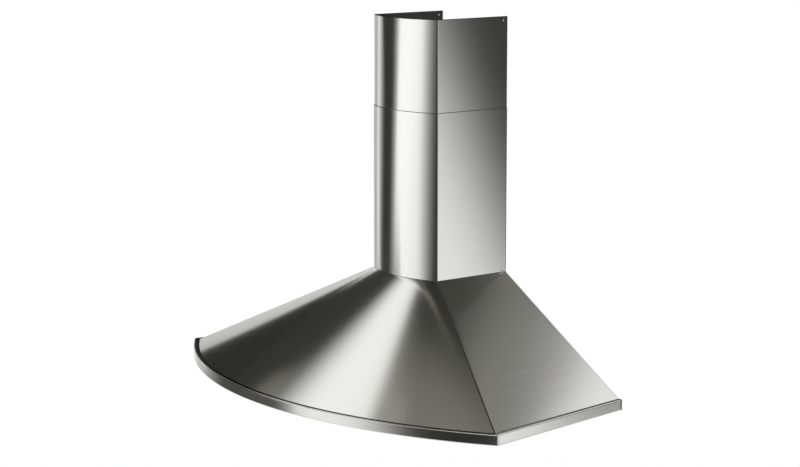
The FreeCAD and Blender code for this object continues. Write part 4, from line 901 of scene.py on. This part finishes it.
# Each flag: azimuth and elevation of its middle, its turn, width and height in degrees, the share of its
# width or height over which each edge fades (left, right, bottom, top), its distance in metres, its
# brightness, and its tint where that isn't the studio's. The first eleven, brightPanel to bandFlag, come from
# a least-squares fit to the photograph's brightness, all but their distances and tints. A program wrote them
# here rounded, and seven values were changed since. The others were given one by one, of which rearLeftFlag
# began as the mirror image of rearRightFlag
flags = {
    "brightPanel": {"at": (-27, 3), "turn": -59, "size": (42, 64), "fade": (0.44, 0.48, 0.24, 0.3),
                    "far": 5.2, "shade": 1.26, "tint": (1, 1, 1)},
    "leftFlag": {"at": (-51, 23), "turn": -37, "size": (52, 97), "fade": (0.5, 0.32, 0.06, 0.26),
                 "far": 5.0, "shade": 0.04},
    "leftFootFlag": {"at": (-71, -21), "turn": -1, "size": (77, 28), "fade": (0.48, 0.26, 0.1, 0.36),
                     "far": 4.9, "shade": 0.08},
    "slimFlag": {"at": (-118, -1), "turn": -17, "size": (53, 35), "fade": (0.96, 0.1, 0.38, 0.08),
                 "far": 4.8, "shade": 0.49, "tint": (1, 1, 0.97)},
    "frontFlag": {"at": (12, -9), "turn": -19, "size": (62, 56), "fade": (0.44, 0.28, 0.36, 0.24),
                  "far": 5.0, "shade": 0.03},
    "leftHighFlag": {"at": (-80, 22), "turn": -36, "size": (60, 36), "fade": (0.18, 0.2, 0.08, 0.33),
                     "far": 4.7, "shade": 0.04},
    "ceilingFlag": {"at": (-78, 66), "turn": 1, "size": (67, 22), "fade": (0.12, 0.12, 0.12, 0.18),
                    "far": 4.0, "shade": 0.24},
    "rearHighFlag": {"at": (-138, 53), "turn": -17, "size": (50, 51), "fade": (0.07, 0.22, 0.32, 0.16),
                     "far": 3.0, "shade": 0.04},
    "rearRightFlag": {"at": (141, -3), "turn": 21, "size": (29, 51), "fade": (0.31, 0.3, 0.44, 0.16),
                      "far": 1.7, "shade": 0.04},
    "rearFootFlag": {"at": (153, -11), "size": (19, 21), "fade": (0.44, 0.3, 0.28, 0.3),
                     "far": 4.5, "shade": 0.46, "tint": (1, 1, 0.97)},
    "bandFlag": {"at": (-90, 19), "turn": 22, "size": (39, 13), "fade": (0.04, 0.3, 0.12, 0.1),
                 "far": 4.6, "shade": 0.03},
    "sideFlag": {"at": (83, -3), "size": (72, 60), "fade": (0.26, 0.2, 0.2, 0.3),
                 "far": 4.3, "shade": 0.04},
    "ledgeFlag": {"at": (-130, 14), "size": (30, 20), "fade": (0.6, 0.07, 0.16, 0.2),
                  "far": 4.6, "shade": 0.03},
    "valleyFlag": {"at": (-103, 61.5), "turn": -42, "size": (20, 11), "fade": (0.4, 0.4, 0.4, 0.4),
                   "far": 2.8, "shade": 0.02},
    "fanPanel": {"at": (-90, 48), "size": (60, 34), "fade": (0.3, 0.3, 0.3, 0.3),
                 "far": 5.4, "shade": 1.14, "tint": (1, 1, 1)},
    "underFlag": {"at": (180, -72), "size": (112, 112), "fade": (0.35, 0.35, 0.35, 0.35),
                  "far": 3.0, "shade": 0.34, "tint": (1, 1, 1)},
    "rearLeftFlag": {"at": (-144, -4), "turn": -15, "size": (44, 54), "fade": (0.35, 0.35, 0.4, 0.2),
                     "far": 1.7, "shade": 0.04},
    "footFlag": {"at": (-50, 63), "size": (32, 17), "fade": (0.25, 0.25, 0.25, 0.25),
                 "far": 3.6, "shade": 0.03},
    "sidePanel": {"at": (-171, 45.5), "size": (15, 14), "fade": (0.45, 0.45, 0.45, 0.45),
                  "far": 2.8, "shade": 0.26},
    "frontHighFlag": {"at": (-25, 52), "size": (64, 34), "fade": (0.3, 0.3, 0.24, 0.2),
                      "far": 4.2, "shade": 0.04},
    "cornerFlag": {"at": (148, 43), "size": (40, 32), "fade": (0.3, 0.35, 0.3, 0.3),
                   "far": 2.6, "shade": 0.06},
    "rightHighFlag": {"at": (112, 52), "size": (64, 50), "fade": (0.3, 0.3, 0.3, 0.2),
                      "far": 4.4, "shade": 0.06},
    "lowPanel": {"at": (-79, 27), "size": (9, 12), "fade": (0.4, 0.3, 0.4, 0.4),
                 "far": 1.3, "shade": 0.18},
    "shelfPanel": {"at": (-68.5, 62), "size": (7, 10), "fade": (0.4, 0.4, 0.4, 0.4),
                   "far": 1.2, "shade": 0.36},
    "zenithFlag": {"at": (0, 86), "size": (46, 46), "fade": (0.2, 0.2, 0.2, 0.2),
                   "far": 4.5, "shade": 0.08},
}
lamps = {
    "keyLamp": {"at": (35, 40), "far": 2.6, "size": 1.6, "power": 45.0},
    "fillLamp": {"at": (-55, 25), "far": 3.0, "size": 2.0, "power": 30.0},
    "rearLamp": {"at": (180, 35), "far": 3.0, "size": 2.0, "power": 20.0},
}


# Each edge of a flag: the axis that it lies across, and whether that is measured backwards
flagEdges = {"Left": ("X", False), "Right": ("X", True), "Bottom": ("Y", False), "Top": ("Y", True)}


def whiteForCamera(tree, plain, white):
    # Gives camera, gloss and glass rays the white shader, and all others the plain one
    path = addNode(tree, "ShaderNodeLightPath")
    seen = calc(tree, "MAXIMUM", path.outputs["Is Camera Ray"], path.outputs["Is Glossy Ray"])
    seen = calc(tree, "MAXIMUM", seen, path.outputs["Is Transmission Ray"])
    return addNode(tree, "ShaderNodeMixShader", {0: seen, 1: plain, 2: white}).outputs[0]


def addWorld(values):
    world = bpy.data.worlds.new("whiteRoom")
    world.use_nodes = True
    tree = world.node_tree
    tree.nodes.clear()
    plain, white = (addNode(tree, "ShaderNodeBackground", {"Color": (1, 1, 1, 1), "Strength": strength})
                    for strength in (values["worldLight"], 1.0))
    addNode(tree, "ShaderNodeOutputWorld", {0: whiteForCamera(tree, plain.outputs[0], white.outputs[0])})
    bpy.context.scene.world = world


def floorMaterial(values):
    # Pale and matt: the camera sees it almost white from above, with a faint shadow, and clear from below
    material, tree, surface = newMaterial("paleFloor")
    fillAll(tree, surface, {"Base Color": (*[values["floorShade"]] * 3, 1), "Specular IOR Level": 0.0,
                            "Roughness": values["floorRough"]})
    place = addNode(tree, "ShaderNodeTexCoord").outputs["Object"]
    distance = addNode(tree, "ShaderNodeVectorMath", {0: place}, operation="LENGTH").outputs["Value"]
    near, far = (share * values["floorRadius"] for share in values["floorFade"])
    edge = smoothRange(tree, distance, near, far, values["floorWhite"], 1.0)
    path = addNode(tree, "ShaderNodeLightPath")
    share = calc(tree, "MULTIPLY", path.outputs["Is Camera Ray"], edge)
    share = calc(tree, "MAXIMUM", share, path.outputs["Is Transmission Ray"])
    white = addNode(tree, "ShaderNodeEmission", {"Color": (1, 1, 1, 1), "Strength": 1.0})
    top = addNode(tree, "ShaderNodeMixShader", {0: share, 1: surface.outputs[0], 2: white.outputs[0]})
    clear = addNode(tree, "ShaderNodeBsdfTransparent")
    below = addNode(tree, "ShaderNodeNewGeometry").outputs["Backfacing"]
    both = addNode(tree, "ShaderNodeMixShader", {0: below, 1: top.outputs[0], 2: clear.outputs[0]})
    tree.links.new(both.outputs[0], tree.nodes["Material Output"].inputs["Surface"])
    material.cycles.emission_sampling = "NONE"
    return material


def addFloor(values):
    mesh = bpy.data.meshes.new("floor")
    shape = bmesh.new()
    bmesh.ops.create_circle(shape, cap_ends=True, segments=96, radius=values["floorRadius"])
    shape.to_mesh(mesh)
    shape.free()
    floor = newPiece("floor", mesh)
    floor.location = (0, aim.y, rimLow.z - values["floorDrop"])
    mesh.materials.append(floorMaterial(values))
    floor.visible_glossy = False


def softEdgesGroup():
    group, given, out = newGroup("softEdges", "ShaderNodeTree", {edge: 0.2 for edge in flagEdges},
                                 {"Mask": "Float"})
    place = addNode(group, "ShaderNodeUVMap", uv_map="flag").outputs[0]
    spot = addNode(group, "ShaderNodeSeparateXYZ", {0: place})
    mask = 1.0
    for edge, (axis, turned) in flagEdges.items():
        value = spot.outputs[axis]
        if turned:
            value = calc(group, "SUBTRACT", 1.0, value)
        mask = calc(group, "MULTIPLY", mask, smoothRange(group, value, 0.0, given[edge]))
    fill(group, out["Mask"], mask)
    return group


softEdges = softEdgesGroup()


def flagMaterial(name, values):
    material = bpy.data.materials.new(name)
    material.use_nodes = True
    tree = material.node_tree
    tree.nodes.clear()
    edges = useGroup(tree, softEdges, dict(zip(flagEdges, values["fade"])))
    clear = addNode(tree, "ShaderNodeBsdfTransparent")
    tint = values.get("tint", studio["flagTint"])
    card = addNode(tree, "ShaderNodeEmission", {"Color": (*tint, 1), "Strength": values["shade"]})
    mix = addNode(tree, "ShaderNodeMixShader", {0: edges.outputs["Mask"], 1: clear.outputs[0],
                                                2: card.outputs[0]})
    addNode(tree, "ShaderNodeOutputMaterial", {"Surface": mix.outputs[0]})
    material.cycles.emission_sampling = "NONE"
    return material


def addFlag(name, values):
    facing = directionTo(*values["at"])
    right = Vector((0, 0, 1)).cross(facing).normalized()
    up = facing.cross(right)
    roll = math.radians(values.get("turn", 0))
    right, up = right * math.cos(roll) + up * math.sin(roll), up * math.cos(roll) - right * math.sin(roll)
    width, height = (2 * values["far"] * math.tan(math.radians(angle / 2)) for angle in values["size"])
    middle = aim + facing * values["far"]
    square = ((0, 0), (1, 0), (1, 1), (0, 1))
    corners = [middle + right * width * (u - 0.5) + up * height * (w - 0.5) for u, w in square]
    mesh = newMesh(name, corners, [(0, 1, 2, 3)])
    for loop, uv in zip(mesh.uv_layers.new(name="flag").data, square):
        loop.uv = uv
    mesh.materials.append(flagMaterial(name, values))
    flag = newPiece(name, mesh)
    flag.visible_camera = flag.visible_diffuse = flag.visible_transmission = flag.visible_shadow = False


def addLamp(name, values):
    data = bpy.data.lights.new(name, "AREA")
    data.size, data.energy = values["size"], values["power"]
    lamp = bpy.data.objects.new(name, data)
    facing = directionTo(*values["at"])
    lamp.location = aim + facing * values["far"]
    lamp.rotation_mode = "QUATERNION"
    lamp.rotation_quaternion = (-facing).to_track_quat("-Z", "Y")
    lamp.visible_glossy = lamp.visible_camera = False
    bpy.context.collection.objects.link(lamp)


addWorld(studio)
addFloor(studio)
for flagName, flagValues in flags.items():
    addFlag(flagName, flagValues)
for lampName, lampValues in lamps.items():
    addLamp(lampName, lampValues)
bpy.context.scene.view_settings.view_transform = "Standard"
print("studio made")
